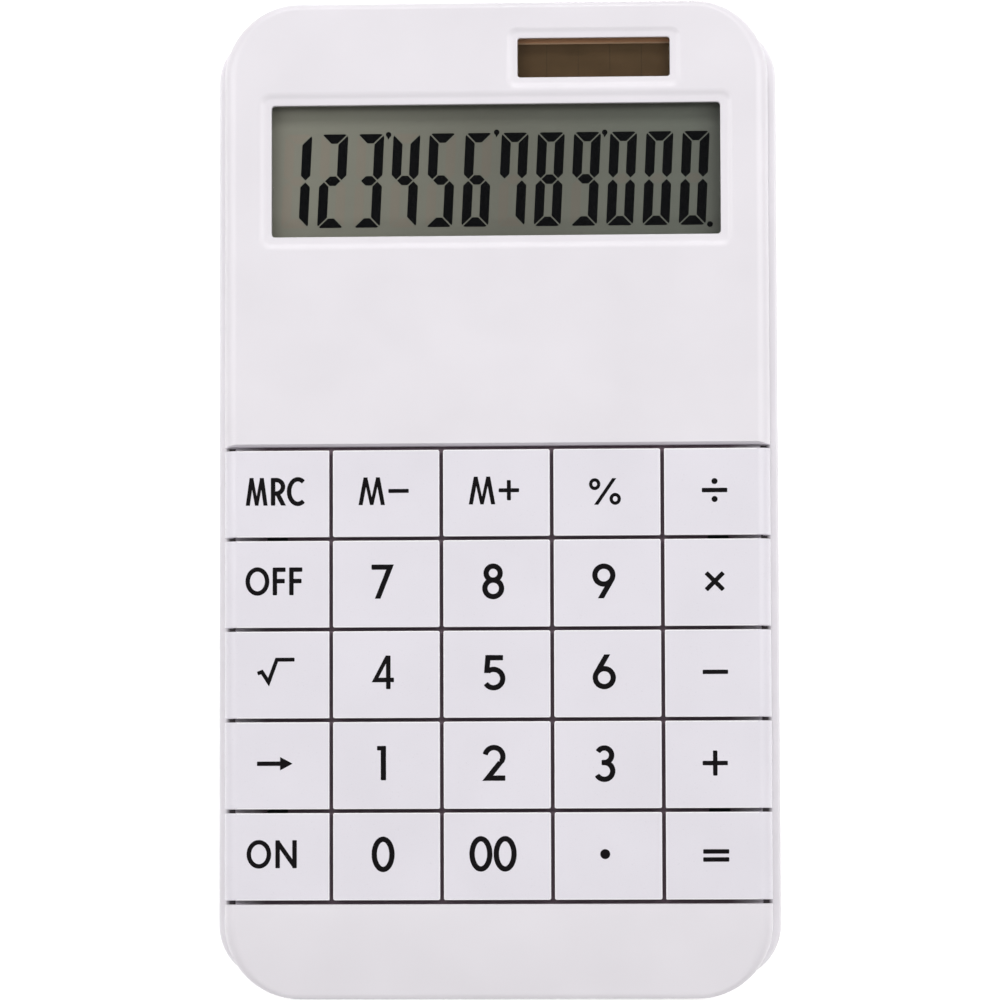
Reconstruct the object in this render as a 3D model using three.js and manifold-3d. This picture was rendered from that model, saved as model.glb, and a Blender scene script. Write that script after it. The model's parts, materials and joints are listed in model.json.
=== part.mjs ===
// A slim wedge-shaped desk calculator: white two-part case, 12-digit display,
// solar strip, and 25 large flat keys over a rubber dome mat and a circuit board.
// Millimetres. The origin is under the middle of the case, on the desk; +X is to the
// user's right, +Y points to the display end and +Z is up.
//
// Most pieces are drawn in the face frame, the tilted group below: x runs across the
// face, y along it towards the display end, and z is the height over the key tops, so
// z = 0 is the face and everything inside the case has a negative z.
// The tray, feet and battery door are drawn in the desk frame.
import * as THREE from 'three';
import { mergeVertices } from 'three/addons/utils/BufferGeometryUtils.js';
import Module from 'manifold-3d';

// ---- driving dimensions ----

const FACE_TILT = THREE.MathUtils.degToRad(2.6);
const FACE_WIDTH = 99;
const FACE_LENGTH = 181;
const FACE_CORNER = 13.6;
const FACE_FILLET = 2.4;
const CHIN_HEIGHT = 11.6; // desk to face at the chin end
const FACE_SHIFT_Y = -0.13; // centres the tilted case over the origin

const GAP = 0.3; // clearance between neighbouring pieces
const CURVE_STEPS = 4; // an arc of the case outline has twice as many facets
const SMALL_CORNER = 3; // smaller corners get two facets
const OVERSHOOT = 1; // how far a cutter reaches past the face that it opens

// Case shells
const FACE_PLATE = 2.0;
const FACE_DEPTH = 6.0; // face down to the parting line
const TRAY_WIDTH = 102;
const TRAY_LENGTH = 173.8;
const TRAY_CORNER = 10;
const TRAY_WALL = 2.1;
const TRAY_BASE_Z = 1.0;
const TRAY_FLOOR_TOP = TRAY_BASE_Z + 1.6;
const TRAY_ROOF = 40; // over the tray, before the rim is cut
const TRAY_RIM = -FACE_DEPTH - GAP;
const TRAY_BEVEL = 3.5;
const TRAY_BEVEL_HEIGHT = 3.0;

// Keypad: five columns and five rows
const COLUMN_PITCH = 20;
const ROW_PITCH = 16.4;
const KEY_GAP = 0.8;
const KEYPAD_TOP = 9.0; // middle of the gap over the top row
const KEY_PLATE = 1.6;
const KEY_TRAVEL = 1.0;
const KEY_SKIRT_DEPTH = 3.4;
const KEY_SKIRT_WALL = 1.4;
const STEM = 5.0;
const STEM_CLEARANCE = 0.4;
const DECK_TOP = -(KEY_PLATE + KEY_TRAVEL + GAP);
const DECK_PLATE = 1.2;
const DECK_HALF_WIDTH = 47.6;
const DECK_HOLE_RADIUS = 1.9;
const LEDGE_TOP = -(KEY_SKIRT_DEPTH + KEY_TRAVEL + GAP); // under the skirts of the side keys

// Small holes in the deck, under the gaps below the first and the fourth row
const DECK_HOLES = [1, 4].flatMap((row) => (
  [-2, 2].map((column) => [column * COLUMN_PITCH, KEYPAD_TOP - row * ROW_PITCH])));

const KEY_NAMES = [
  ['mrc', 'm_minus', 'm_plus', 'percent', 'divide'],
  ['off', '7', '8', '9', 'multiply'],
  ['root', '4', '5', '6', 'minus'],
  ['back', '1', '2', '3', 'plus'],
  ['on', '0', '00', 'point', 'equals'],
];

// Windows: the opening, and the width of the soft cove round it
const LCD_OPENING = { x: 0, y: 59.7, width: 81.7, length: 24.1, corner: 0.6, cove: 1.9 };
const SOLAR_OPENING = { x: 17.9, y: 80.3, width: 27.7, length: 7.5, corner: 0.5, cove: 1.7 };
const COVE_DEPTH = 1.2;
const COVE_STEP = 0.25; // flat rim between the cove and the opening
const WINDOW_TOP = -FACE_PLATE - 0.2;

// Display stack, from the polarizer down to the reflector
const LCD_WIDTH = 84;
const LCD_VIEW = { yMin: 47.2, yMax: 72.4, width: 82.4 };
const LCD_TOP_EDGE = 73.6;
const LCD_FRAME = { width: 88.4, length: 34, y: 58, top: -3.7, bottom: -6.4 };

// Circuit board and rubber mat
const BOARD = { width: 91.6, yMin: -73.8, yMax: 46, top: -6.9, thickness: 1.0 };
const BOARD_UNDER = BOARD.top - BOARD.thickness;
const DOME_TOP = -4.5;
const MAT = {
  width: 90,
  sheet: 0.6,
  baseTop: -6.1,
  domeTop: DOME_TOP,
  domeFoot: 4.6,
  domeCrown: 3.3,
};

// Fasteners
const CASE_SCREWS = [[-40, 80], [40, 80], [-40, -79], [40, -79]];
const BOARD_SCREWS = [[-36, 28], [36, 28]];
const CASE_SCREW = {
  headTop: -9.4,
  headRadius: 2.2,
  headHeight: 1.4,
  shankRadius: 0.95,
  tip: -3.4,
};
const BOARD_SCREW = {
  headTop: BOARD_UNDER - 0.2,
  headRadius: 2.1,
  headHeight: 1.1,
  shankRadius: 0.95,
  tip: -3.6,
};
const BOSS_RADIUS = 2.6;
const BOSS_HOLE_TOP = -3.0;
const SCREW_HOLE_RADIUS = 1.25;

// Coin cell compartment, in the desk frame
const CELL = { y: 51, z: 3.0, radius: 10, thickness: 2.5 };
const DOOR = { width: 32, yMin: 36, yMax: 66, thickness: 1.3 };
const DOOR_OPENING = { width: 28, yMin: 38, yMax: 64.4 };
const HOOK_X = 8;
const POCKET_TOP = 7.7;
const POCKET_ROOF = 1.2;
const CONTACT = { x: 9, z: CELL.z + CELL.thickness + 0.25, sheet: 0.3 };
const WIRE_RADIUS = 0.45;

// Feet
const FEET = [[-38, 67], [38, 67], [-38, -67], [38, -67]];
const FOOT = { radius: 4.5, recess: 0.7 };

// ---- frames ----

const faceHeight = CHIN_HEIGHT + (FACE_LENGTH / 2) * Math.sin(FACE_TILT);
const face = new THREE.Group();
face.rotation.x = FACE_TILT;
face.position.set(0, FACE_SHIFT_Y, faceHeight);
face.updateMatrix();

const calculator = new THREE.Group();
calculator.name = 'desk_calculator';
calculator.add(face);

// ---- solids and shapes ----

const wasm = await Module();
wasm.setup();

// A closed three.js geometry as a solid that can be joined and cut.
function solid(geometry) {
  const bare = geometry.clone();
  bare.deleteAttribute('normal');
  bare.deleteAttribute('uv');
  const merged = mergeVertices(bare, 1e-4);
  const corners = merged.index.array;
  const kept = [];
  for (let i = 0; i < corners.length; i += 3) {
    const [a, b, c] = corners.slice(i, i + 3);
    if (a !== b && b !== c && c !== a) kept.push(a, b, c);
  }
  return new wasm.Manifold(new wasm.Mesh({
    numProp: 3,
    vertProperties: merged.attributes.position.array,
    triVerts: Uint32Array.from(kept),
  }));
}

function geometryOf(body) {
  const mesh = body.getMesh();
  const geometry = new THREE.BufferGeometry();
  geometry.setAttribute('position', new THREE.BufferAttribute(mesh.vertProperties, 3));
  geometry.setIndex(new THREE.BufferAttribute(mesh.triVerts, 1));
  const flat = geometry.toNonIndexed();
  flat.computeVertexNormals();
  return flat;
}

function roundedOutline(width, length, radius) {
  const x = width / 2 - radius;
  const y = length / 2 - radius;
  const quarter = Math.PI / 2;
  return new THREE.Shape()
    .absarc(x, y, radius, 0, quarter)
    .absarc(-x, y, radius, quarter, 2 * quarter)
    .absarc(-x, -y, radius, 2 * quarter, 3 * quarter)
    .absarc(x, -y, radius, 3 * quarter, 4 * quarter);
}

// A slab with a rounded outline between two heights.
function slab(width, length, radius, bottom, top, x = 0, y = 0) {
  return new THREE.ExtrudeGeometry(roundedOutline(width, length, radius), {
    depth: top - bottom,
    bevelEnabled: false,
    curveSegments: radius < SMALL_CORNER ? 1 : CURVE_STEPS,
  }).translate(x, y, bottom);
}

// The same slab with its lower edge rounded by a bevel that grows outwards to the
// given width; the rounded upper edge lies over `top` and is meant to be cut away.
function bowl(width, length, radius, bottom, top, bevel, bevelHeight, x = 0, y = 0) {
  const outline = roundedOutline(width - 2 * bevel, length - 2 * bevel, radius - bevel);
  return new THREE.ExtrudeGeometry(outline, {
    depth: top - bottom - bevelHeight,
    bevelEnabled: true,
    bevelSize: bevel,
    bevelThickness: bevelHeight,
    bevelSegments: CURVE_STEPS,
    curveSegments: radius - bevel < SMALL_CORNER ? 2 : CURVE_STEPS,
  }).translate(x, y, bottom + bevelHeight);
}

function block(x0, x1, y0, y1, z0, z1) {
  return new THREE.BoxGeometry(x1 - x0, y1 - y0, z1 - z0)
    .translate((x0 + x1) / 2, (y0 + y1) / 2, (z0 + z1) / 2);
}

function post(radius, bottom, top, x = 0, y = 0, sides = 16) {
  return new THREE.CylinderGeometry(radius, radius, top - bottom, sides)
    .rotateX(Math.PI / 2)
    .translate(x, y, (bottom + top) / 2);
}

// A profile drawn in the (y, z) plane and extruded across the full width.
function acrossX(outline, halfWidth) {
  return new THREE.ExtrudeGeometry(outline, {
    depth: 2 * halfWidth,
    bevelEnabled: false,
    curveSegments: CURVE_STEPS,
  })
    .rotateX(Math.PI / 2)
    .rotateZ(Math.PI / 2)
    .translate(-halfWidth, 0, 0);
}

function tube(points, radius, sides = 8) {
  const curve = new THREE.CatmullRomCurve3(points.map((p) => new THREE.Vector3(...p)));
  const section = new THREE.Shape();
  for (let i = 0; i < sides; i += 1) {
    const angle = (2 * Math.PI * i) / sides;
    const move = i ? 'lineTo' : 'moveTo';
    section[move](radius * Math.cos(angle), radius * Math.sin(angle));
  }
  return new THREE.ExtrudeGeometry(section, {
    steps: Math.ceil(curve.getLength() / (5 * radius)),
    extrudePath: curve,
    bevelEnabled: false,
  });
}

function material(color, roughness, metalness = 0) {
  return new THREE.MeshStandardMaterial({ color, roughness, metalness });
}

const MATERIALS = {
  shell: material(0xe8e4e9, 0.5),
  key: material(0xe3e0e6, 0.45),
  window: material(0xb9bcb6, 0.05),
  cellWindow: material(0x6a4a34, 0.05),
  glass: material(0xa9aea4, 0.08),
  polarizer: material(0x6d6f66, 0.25),
  reflector: material(0x8d9089, 0.4, 0.3),
  solar: material(0x4a3020, 0.3),
  rubber: material(0x4a4b4d, 0.85),
  mat: material(0xb9bdc2, 0.75),
  board: material(0x2f6b45, 0.55),
  epoxy: material(0x17181a, 0.35),
  steel: material(0xb8bbc0, 0.3, 1),
  sleeve: material(0x2a3e66, 0.4),
  ceramic: material(0xb5793c, 0.6),
  redWire: material(0xb02a25, 0.5),
  blackWire: material(0x1d1e20, 0.5),
  frame: material(0xd9d8dc, 0.55),
};

function place(parent, name, geometry, look) {
  const mesh = new THREE.Mesh(geometry, MATERIALS[look]);
  mesh.name = name;
  parent.add(mesh);
  return mesh;
}

// ---- keypad layout ----

const rowY = (row) => KEYPAD_TOP - (row + 0.5) * ROW_PITCH;
const columnX = (column) => (column - 2) * COLUMN_PITCH;
const KEYPAD_BOTTOM = KEYPAD_TOP - 5 * ROW_PITCH;
const KEY_LENGTH = ROW_PITCH - KEY_GAP;
const KEY_WIDTH = COLUMN_PITCH - KEY_GAP;

function forEachKey(visit) {
  KEY_NAMES.forEach((names, row) => {
    names.forEach((name, column) => visit(name, columnX(column), rowY(row), column));
  });
}

// ---- front cover: display panel, key deck and chin in one moulding ----

const DECK_UNDER = DECK_TOP - DECK_PLATE;
const WELL_TOP = KEYPAD_TOP + KEY_GAP / 2 + 0.1;
const WELL_BOTTOM = KEYPAD_BOTTOM - KEY_GAP / 2;

// The side view closes the shell: a chin that curves down, and ends that lean in.
function frontCoverOutside() {
  const end = FACE_LENGTH / 2;
  const chinStart = -74;
  const chinDrop = 1.3;
  const leanStart = -3.4;
  const lean = 2.5;
  const profile = new THREE.Shape()
    .moveTo(end, OVERSHOOT)
    .lineTo(end, leanStart)
    .quadraticCurveTo(end - 0.3, 0.8 - FACE_DEPTH, end - lean, -FACE_DEPTH)
    .lineTo(lean - end, -FACE_DEPTH)
    .quadraticCurveTo(0.3 - end, 0.8 - FACE_DEPTH, -end, leanStart)
    .lineTo(-end, -chinDrop)
    .quadraticCurveTo((chinStart - end) / 2, 0, chinStart, 0)
    .lineTo(chinStart, OVERSHOOT);
  const plan = bowl(FACE_WIDTH, FACE_LENGTH, FACE_CORNER,
    0, 2 * FACE_DEPTH, FACE_FILLET, FACE_FILLET).rotateX(Math.PI);
  return solid(plan).intersect(solid(acrossX(profile, FACE_WIDTH)));
}

function frontCoverCavity() {
  const wall = { display: 1.9, keypad: 3.3, ends: 5 };
  const chinPlate = 3.4;
  const corner = 9;
  const bottom = -FACE_DEPTH - OVERSHOOT;
  const length = FACE_LENGTH - 2 * wall.ends;
  const displayStart = WELL_TOP + 1.2;
  const displayLength = length / 2 - displayStart;
  const inside = solid(slab(FACE_WIDTH - 2 * wall.keypad, length, corner, bottom, -chinPlate));
  const display = solid(slab(FACE_WIDTH - 2 * wall.display, displayLength, corner,
    bottom, -FACE_PLATE, 0, displayStart + displayLength / 2));
  const deck = solid(block(-FACE_WIDTH, FACE_WIDTH, WELL_BOTTOM - 1.2, displayStart,
    DECK_UNDER, OVERSHOOT));
  return inside.add(display).subtract(deck);
}

function keyWell() {
  const over = (x0, x1, bottom) => (
    solid(block(x0, x1, WELL_BOTTOM, WELL_TOP, bottom, OVERSHOOT)));
  return over(-FACE_WIDTH, FACE_WIDTH, DECK_TOP)
    .add(over(-FACE_WIDTH, -DECK_HALF_WIDTH, LEDGE_TOP))
    .add(over(DECK_HALF_WIDTH, FACE_WIDTH, LEDGE_TOP));
}

function windowCut({ x, y, width, length, corner, cove }) {
  const margin = 2 * (cove + COVE_STEP);
  const basin = bowl(width + margin, length + margin, corner + margin / 2,
    -COVE_DEPTH, 4, cove, COVE_DEPTH, x, y);
  const through = slab(width, length, corner, -FACE_PLATE - OVERSHOOT, OVERSHOOT, x, y);
  return solid(basin).add(solid(through));
}

// A screw boss from the underside of the face plate down to `bottom`.
function withBoss(body, [x, y], bottom) {
  const boss = solid(post(BOSS_RADIUS, bottom, -FACE_PLATE + 0.2, x, y));
  const hole = solid(post(SCREW_HOLE_RADIUS, bottom - OVERSHOOT, BOSS_HOLE_TOP, x, y, 12));
  return body.add(boss).subtract(hole);
}

function frontCover() {
  let body = frontCoverOutside()
    .subtract(frontCoverCavity())
    .subtract(keyWell())
    .subtract(windowCut(LCD_OPENING))
    .subtract(windowCut(SOLAR_OPENING));
  const cutBottom = DECK_UNDER - OVERSHOOT;
  const half = STEM / 2 + STEM_CLEARANCE;
  forEachKey((name, x, y) => {
    body = body.subtract(solid(block(x - half, x + half, y - half, y + half, cutBottom, 0)));
  });
  for (const [x, y] of DECK_HOLES) {
    body = body.subtract(solid(post(DECK_HOLE_RADIUS, cutBottom, 0, x, y, 12)));
  }
  for (const at of CASE_SCREWS) body = withBoss(body, at, -FACE_DEPTH);
  for (const at of BOARD_SCREWS) body = withBoss(body, at, BOARD.top + GAP);
  return geometryOf(body);
}

place(face, 'front_cover', frontCover(), 'shell');

// ---- keys ----

function innerKeyPlate(x) {
  return block(x - KEY_WIDTH / 2, x + KEY_WIDTH / 2, -KEY_LENGTH / 2, KEY_LENGTH / 2,
    -KEY_PLATE, 0);
}

// The side columns carry a rounded skirt that closes the side of the case.
function sideKeyPlate(x) {
  const inner = 1.5 * COLUMN_PITCH + KEY_GAP / 2;
  const outer = FACE_WIDTH / 2;
  const section = new THREE.Shape()
    .moveTo(inner, -KEY_PLATE)
    .lineTo(outer - KEY_SKIRT_WALL, -KEY_PLATE)
    .lineTo(outer - KEY_SKIRT_WALL, -KEY_SKIRT_DEPTH)
    .lineTo(outer, -KEY_SKIRT_DEPTH)
    .lineTo(outer, -FACE_FILLET)
    .absarc(outer - FACE_FILLET, -FACE_FILLET, FACE_FILLET, 0, Math.PI / 2)
    .lineTo(inner, 0);
  return new THREE.ExtrudeGeometry(section, {
    depth: KEY_LENGTH,
    bevelEnabled: false,
    curveSegments: CURVE_STEPS,
  })
    .rotateX(Math.PI / 2)
    .translate(0, KEY_LENGTH / 2, 0)
    .rotateZ(x > 0 ? 0 : Math.PI);
}

forEachKey((name, x, y) => {
  const plate = Math.abs(x) > 1.5 * COLUMN_PITCH ? sideKeyPlate(x) : innerKeyPlate(x);
  const stem = block(x - STEM / 2, x + STEM / 2, -STEM / 2, STEM / 2,
    DOME_TOP + GAP, -KEY_PLATE / 2);
  const key = place(face, `key_${name}`, geometryOf(solid(plate).add(solid(stem))), 'key');
  key.position.y = y;
});

// ---- windows, display and solar cell ----

function windowPane({ x, y, width, length }, lip, thickness) {
  return slab(width + 2 * lip, length + 2 * lip, 1, WINDOW_TOP - thickness, WINDOW_TOP, x, y);
}

place(face, 'display_window', windowPane(LCD_OPENING, 1.7, 1.2), 'window');
place(face, 'solar_window', windowPane(SOLAR_OPENING, 1.3, 1.0), 'cellWindow');

// A thin layer of the display, from its lower to its upper edge.
function lcdLayer(width, yMin, yMax, top, thickness) {
  return slab(width, yMax - yMin, 0.4, top - thickness, top, 0, (yMin + yMax) / 2);
}

function lcdFrame() {
  const { width, length, y, top, bottom } = LCD_FRAME;
  const shelf = 0.3;
  const outside = solid(slab(width, length, 1.5, bottom, top, 0, y));
  const wellLength = LCD_TOP_EDGE + GAP - (y - length / 2 + 1.5);
  const wellY = LCD_TOP_EDGE + GAP - wellLength / 2;
  const well = solid(slab(LCD_WIDTH + 2 * GAP, wellLength, 0.6, bottom + shelf, 0, 0, wellY));
  const opening = solid(slab(LCD_WIDTH - 3, wellLength - 1.7, 1, bottom - OVERSHOOT, 0, 0, wellY));
  return geometryOf(outside.subtract(well).subtract(opening));
}

place(face, 'lcd_frame', lcdFrame(), 'frame');
place(face, 'lcd_front_polarizer',
  lcdLayer(LCD_VIEW.width, LCD_VIEW.yMin, LCD_VIEW.yMax, -3.7, 0.2), 'polarizer');
place(face, 'lcd_front_glass', lcdLayer(LCD_WIDTH, 42.9, LCD_TOP_EDGE, -4.1, 0.7), 'glass');
place(face, 'lcd_rear_glass', lcdLayer(LCD_WIDTH, 46.8, LCD_TOP_EDGE, -5.0, 0.6), 'glass');
place(face, 'lcd_reflector',
  lcdLayer(LCD_VIEW.width, LCD_VIEW.yMin, LCD_VIEW.yMax, -5.8, 0.2), 'reflector');
place(face, 'lcd_connector_strip',
  block(-38, 38, 43.6, 45.4, BOARD.top + 0.15, -5.0), 'rubber');

const solarLayer = (width, length, top, thickness) => (
  slab(width, length, 0.4, top - thickness, top, SOLAR_OPENING.x, SOLAR_OPENING.y));
place(face, 'solar_cell', solarLayer(29.6, 8.8, -3.6, 1.1), 'solar');
place(face, 'solar_pad', solarLayer(28, 7.6, -5.0, 1.6), 'rubber');

// ---- circuit board, dome mat and electronics ----

function circuitBoard() {
  const { width, yMin, yMax, top, thickness } = BOARD;
  let body = solid(slab(width, yMax - yMin, 2, top - thickness, top, 0, (yMin + yMax) / 2));
  for (const [x, y] of BOARD_SCREWS) {
    body = body.subtract(solid(post(SCREW_HOLE_RADIUS, top - 2 * thickness, 0, x, y, 12)));
  }
  return geometryOf(body);
}

function domeMat() {
  const { width, sheet, baseTop, domeTop, domeFoot, domeCrown } = MAT;
  const height = domeTop - baseTop + sheet / 2;
  const middle = KEYPAD_TOP - 2.5 * ROW_PITCH;
  let body = solid(slab(width, 5 * ROW_PITCH + 2, 2, baseTop - sheet, baseTop, 0, middle));
  forEachKey((name, x, y) => {
    const dome = new THREE.CylinderGeometry(domeCrown, domeFoot, height, 12)
      .rotateX(Math.PI / 2)
      .translate(x, y, domeTop - height / 2);
    body = body.add(solid(dome));
  });
  return geometryOf(body);
}

// The drop of resin over the chip, under the board.
function chipCover(x, y, top) {
  const radius = 7;
  const height = 1.5;
  const profile = [
    new THREE.Vector2(0, -height),
    new THREE.Vector2(0.6 * radius, -0.87 * height),
    new THREE.Vector2(0.94 * radius, -0.4 * height),
    new THREE.Vector2(radius, 0),
    new THREE.Vector2(0, 0),
  ];
  return new THREE.LatheGeometry(profile, 20).rotateX(Math.PI / 2).translate(x, y, top);
}

const PART_TOP = BOARD_UNDER - 0.15; // top of what is soldered under the board
place(face, 'circuit_board', circuitBoard(), 'board');
place(face, 'dome_mat', domeMat(), 'mat');
place(face, 'chip_cover', chipCover(-14, 14, PART_TOP), 'epoxy');
place(face, 'electrolytic_capacitor', new THREE.CylinderGeometry(2, 2, 7, 16)
  .rotateZ(Math.PI / 2)
  .translate(22, 16, PART_TOP - 2), 'sleeve');
place(face, 'ceramic_capacitor', new THREE.CylinderGeometry(2.2, 2.2, 1.6, 14)
  .translate(6, 8, PART_TOP - 2.2), 'ceramic');

// ---- screws, with their heads down ----

function screw([x, y], { headTop, headRadius, headHeight, shankRadius, tip }) {
  const head = solid(post(headRadius, headTop - headHeight, headTop, x, y, 14));
  const shank = solid(post(shankRadius, headTop - 0.2, tip, x, y, 10));
  const slotHalf = 0.35;
  const slotReach = 1.4;
  const slotTop = headTop - headHeight + 0.7;
  const slotBottom = headTop - headHeight - OVERSHOOT;
  const slot = (dx, dy) => solid(block(x - dx, x + dx, y - dy, y + dy, slotBottom, slotTop));
  return geometryOf(head.add(shank)
    .subtract(slot(slotHalf, slotReach))
    .subtract(slot(slotReach, slotHalf)));
}

CASE_SCREWS.forEach((at, i) => {
  place(face, `case_screw_${i + 1}`, screw(at, CASE_SCREW), 'steel');
});
BOARD_SCREWS.forEach((at, i) => {
  place(face, `board_screw_${i + 1}`, screw(at, BOARD_SCREW), 'steel');
});

// ---- back tray, in the desk frame ----

// Moves a geometry drawn in the face frame into the desk frame.
const fromFace = (geometry) => geometry.applyMatrix4(face.matrix);

// Everything below a plane that is parallel to the face.
function halfSpaceUnder(height) {
  const reach = 200;
  return solid(fromFace(block(-reach, reach, -reach, reach, height - reach, height)));
}

function trayShell() {
  const outside = bowl(TRAY_WIDTH, TRAY_LENGTH, TRAY_CORNER,
    TRAY_BASE_Z, TRAY_ROOF, TRAY_BEVEL, TRAY_BEVEL_HEIGHT);
  const inside = bowl(TRAY_WIDTH - 2 * TRAY_WALL, TRAY_LENGTH - 2 * TRAY_WALL,
    TRAY_CORNER - TRAY_WALL, TRAY_FLOOR_TOP, TRAY_ROOF, TRAY_BEVEL, TRAY_BEVEL_HEIGHT);
  return solid(outside).subtract(solid(inside)).intersect(halfSpaceUnder(TRAY_RIM));
}

// Ribs that stop just under the circuit board and hold it up when a key is pressed.
function boardRibs() {
  const underBoard = halfSpaceUnder(BOARD_UNDER - GAP);
  const halfThickness = 0.6;
  return [-58, -30, -4].map((y) => solid(block(-44, 44, y - halfThickness, y + halfThickness,
    TRAY_FLOOR_TOP - 0.4, TRAY_ROOF)).intersect(underBoard));
}

// A pillar from the tray floor to the rim, with a well for the screw head.
function screwPillar([x, y]) {
  const aboveFloor = solid(block(-TRAY_WIDTH, TRAY_WIDTH, -TRAY_LENGTH, TRAY_LENGTH,
    TRAY_BASE_Z + 0.4, TRAY_ROOF));
  return solid(fromFace(post(4.2, -30, TRAY_RIM, x, y))).intersect(aboveFloor);
}

function screwWell([x, y]) {
  const well = post(2.7, -30, CASE_SCREW.headTop + 0.2, x, y);
  const hole = post(SCREW_HOLE_RADIUS, -30, OVERSHOOT, x, y, 12);
  return solid(fromFace(well)).add(solid(fromFace(hole)));
}

function backTray() {
  let body = trayShell();
  for (const rib of boardRibs()) body = body.add(rib);
  for (const at of CASE_SCREWS) body = body.add(screwPillar(at)).subtract(screwWell(at));
  for (const [x, y] of FEET) {
    body = body.subtract(solid(post(FOOT.radius + GAP, 0, TRAY_BASE_Z + FOOT.recess, x, y)));
  }
  body = body.add(cellPocket());
  for (const cut of cellPocketCuts()) body = body.subtract(cut);
  return geometryOf(body);
}

// ---- battery compartment ----

const DOOR_HALF = DOOR.width / 2;
const DOOR_TOP = TRAY_BASE_Z + DOOR.thickness;
const SEAT_TOP = DOOR_TOP + GAP;

function cellPocket() {
  const wall = 1.5;
  return solid(block(-DOOR_HALF - wall, DOOR_HALF + wall, DOOR.yMin - wall, DOOR.yMax + wall,
    TRAY_BASE_Z, POCKET_TOP));
}

function cellPocketCuts() {
  const room = block(-DOOR_OPENING.width / 2, DOOR_OPENING.width / 2,
    DOOR_OPENING.yMin, DOOR_OPENING.yMax, 0, POCKET_TOP - POCKET_ROOF);
  const seat = block(-DOOR_HALF - GAP, DOOR_HALF + GAP, DOOR.yMin - GAP, DOOR.yMax + GAP,
    0, SEAT_TOP);
  const latchNotch = block(-5, 5, DOOR.yMin - 2.5, DOOR.yMin, 0, TRAY_BASE_Z + 1);
  const hookSlots = [-HOOK_X, HOOK_X].map((x) => block(x - 2.4, x + 2.4,
    DOOR_OPENING.yMax - 1, DOOR.yMax + 1.6, SEAT_TOP - 0.4, SEAT_TOP + 2.2));
  const tailSlots = [-CONTACT.x, CONTACT.x].map((x) => block(x - 1.4, x + 1.4,
    DOOR.yMin - 4, DOOR_OPENING.yMin + 1, CONTACT.z - 0.5, CONTACT.z + 0.7));
  return [room, seat, latchNotch, ...hookSlots, ...tailSlots].map(solid);
}

function batteryDoor() {
  const { yMin, yMax } = DOOR;
  let body = solid(block(-DOOR_HALF, DOOR_HALF, yMin, yMax, TRAY_BASE_Z, DOOR_TOP));
  const hookHalf = 1.8;
  for (const x of [-HOOK_X, HOOK_X]) {
    const arm = block(x - hookHalf, x + hookHalf, yMax - 3, yMax - 1.9,
      DOOR_TOP - 0.2, DOOR_TOP + 1.2);
    const toe = block(x - hookHalf, x + hookHalf, yMax - 3, yMax + 0.9,
      DOOR_TOP + 0.3, DOOR_TOP + 1.2);
    body = body.add(solid(arm)).add(solid(toe));
  }
  const latch = block(-4.4, 4.4, yMin - 1.8, yMin + 0.2, TRAY_BASE_Z, TRAY_BASE_Z + 0.7);
  body = body.add(solid(latch));
  for (const y of [yMin + 3, yMin + 4.6, yMin + 6.2]) {
    const thumbGroove = block(-6, 6, y, y + 0.7, 0, TRAY_BASE_Z + 0.4);
    body = body.subtract(solid(thumbGroove));
  }
  return geometryOf(body);
}

// Bent strips of sheet metal. Each has a tail that leaves the compartment.
function contact(x, blades) {
  const top = CONTACT.z + CONTACT.sheet;
  let body = solid(block(x - 1, x + 1, DOOR.yMin - 3, DOOR_OPENING.yMin + 1, CONTACT.z, top));
  for (const blade of blades) body = body.add(solid(blade));
  return geometryOf(body);
}

function minusContact() {
  const top = CONTACT.z + CONTACT.sheet;
  const tongue = block(-11, -2, CELL.y - 2, CELL.y + 2, CONTACT.z, top);
  const run = block(-11, -7, DOOR_OPENING.yMin + 0.4, CELL.y - 1, CONTACT.z, top);
  return contact(-CONTACT.x, [tongue, run]);
}

function plusContact() {
  const top = CONTACT.z + CONTACT.sheet;
  const sidePlate = block(10.4, 10.8, CELL.y - 6, CELL.y + 6, CELL.z, top);
  const run = block(7, 10.8, DOOR_OPENING.yMin + 0.4, CELL.y - 4, CONTACT.z, top);
  return contact(CONTACT.x, [sidePlate, run]);
}

place(calculator, 'back_tray', backTray(), 'shell');
place(calculator, 'battery_door', batteryDoor(), 'shell');
place(calculator, 'coin_cell',
  post(CELL.radius, CELL.z, CELL.z + CELL.thickness, 0, CELL.y, 32), 'steel');
place(calculator, 'battery_contact_minus', minusContact(), 'steel');
place(calculator, 'battery_contact_plus', plusContact(), 'steel');

// ---- feet ----

FEET.forEach(([x, y], i) => {
  const top = TRAY_BASE_Z + FOOT.recess - 0.1;
  place(calculator, `foot_${i + 1}`, post(FOOT.radius, 0, top, x, y, 20), 'rubber');
});

// ---- wires, from their solder joint to the circuit board ----

// Down the right side of the display, in the face frame.
function solarWire(x, z, endY) {
  return tube([
    [SOLAR_OPENING.x + 15.5, 78.5, z],
    [38, 76.6, z],
    [x - 1.2, 76, z],
    [x, 71, z],
    [x, 55, z],
    [x, 43, z],
    [x - 1, endY + 1.5, -6.2],
    [x - 4, endY, -6.2],
  ], WIRE_RADIUS);
}

function cellWire(x) {
  return tube([
    [x, DOOR.yMin - 3.6, CONTACT.z + 0.15],
    [x, 30, CONTACT.z + 0.4],
    [x + 1, 27, CONTACT.z + 1.6],
    [x + 1, 23.5, CONTACT.z + 2],
  ], WIRE_RADIUS);
}

place(face, 'solar_wire_red', solarWire(45.4, -4.0, 38), 'redWire');
place(face, 'solar_wire_black', solarWire(46.4, -5.4, 35), 'blackWire');
place(calculator, 'battery_wire_red', cellWire(CONTACT.x), 'redWire');
place(calculator, 'battery_wire_black', cellWire(-CONTACT.x), 'blackWire');

export default calculator;
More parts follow.
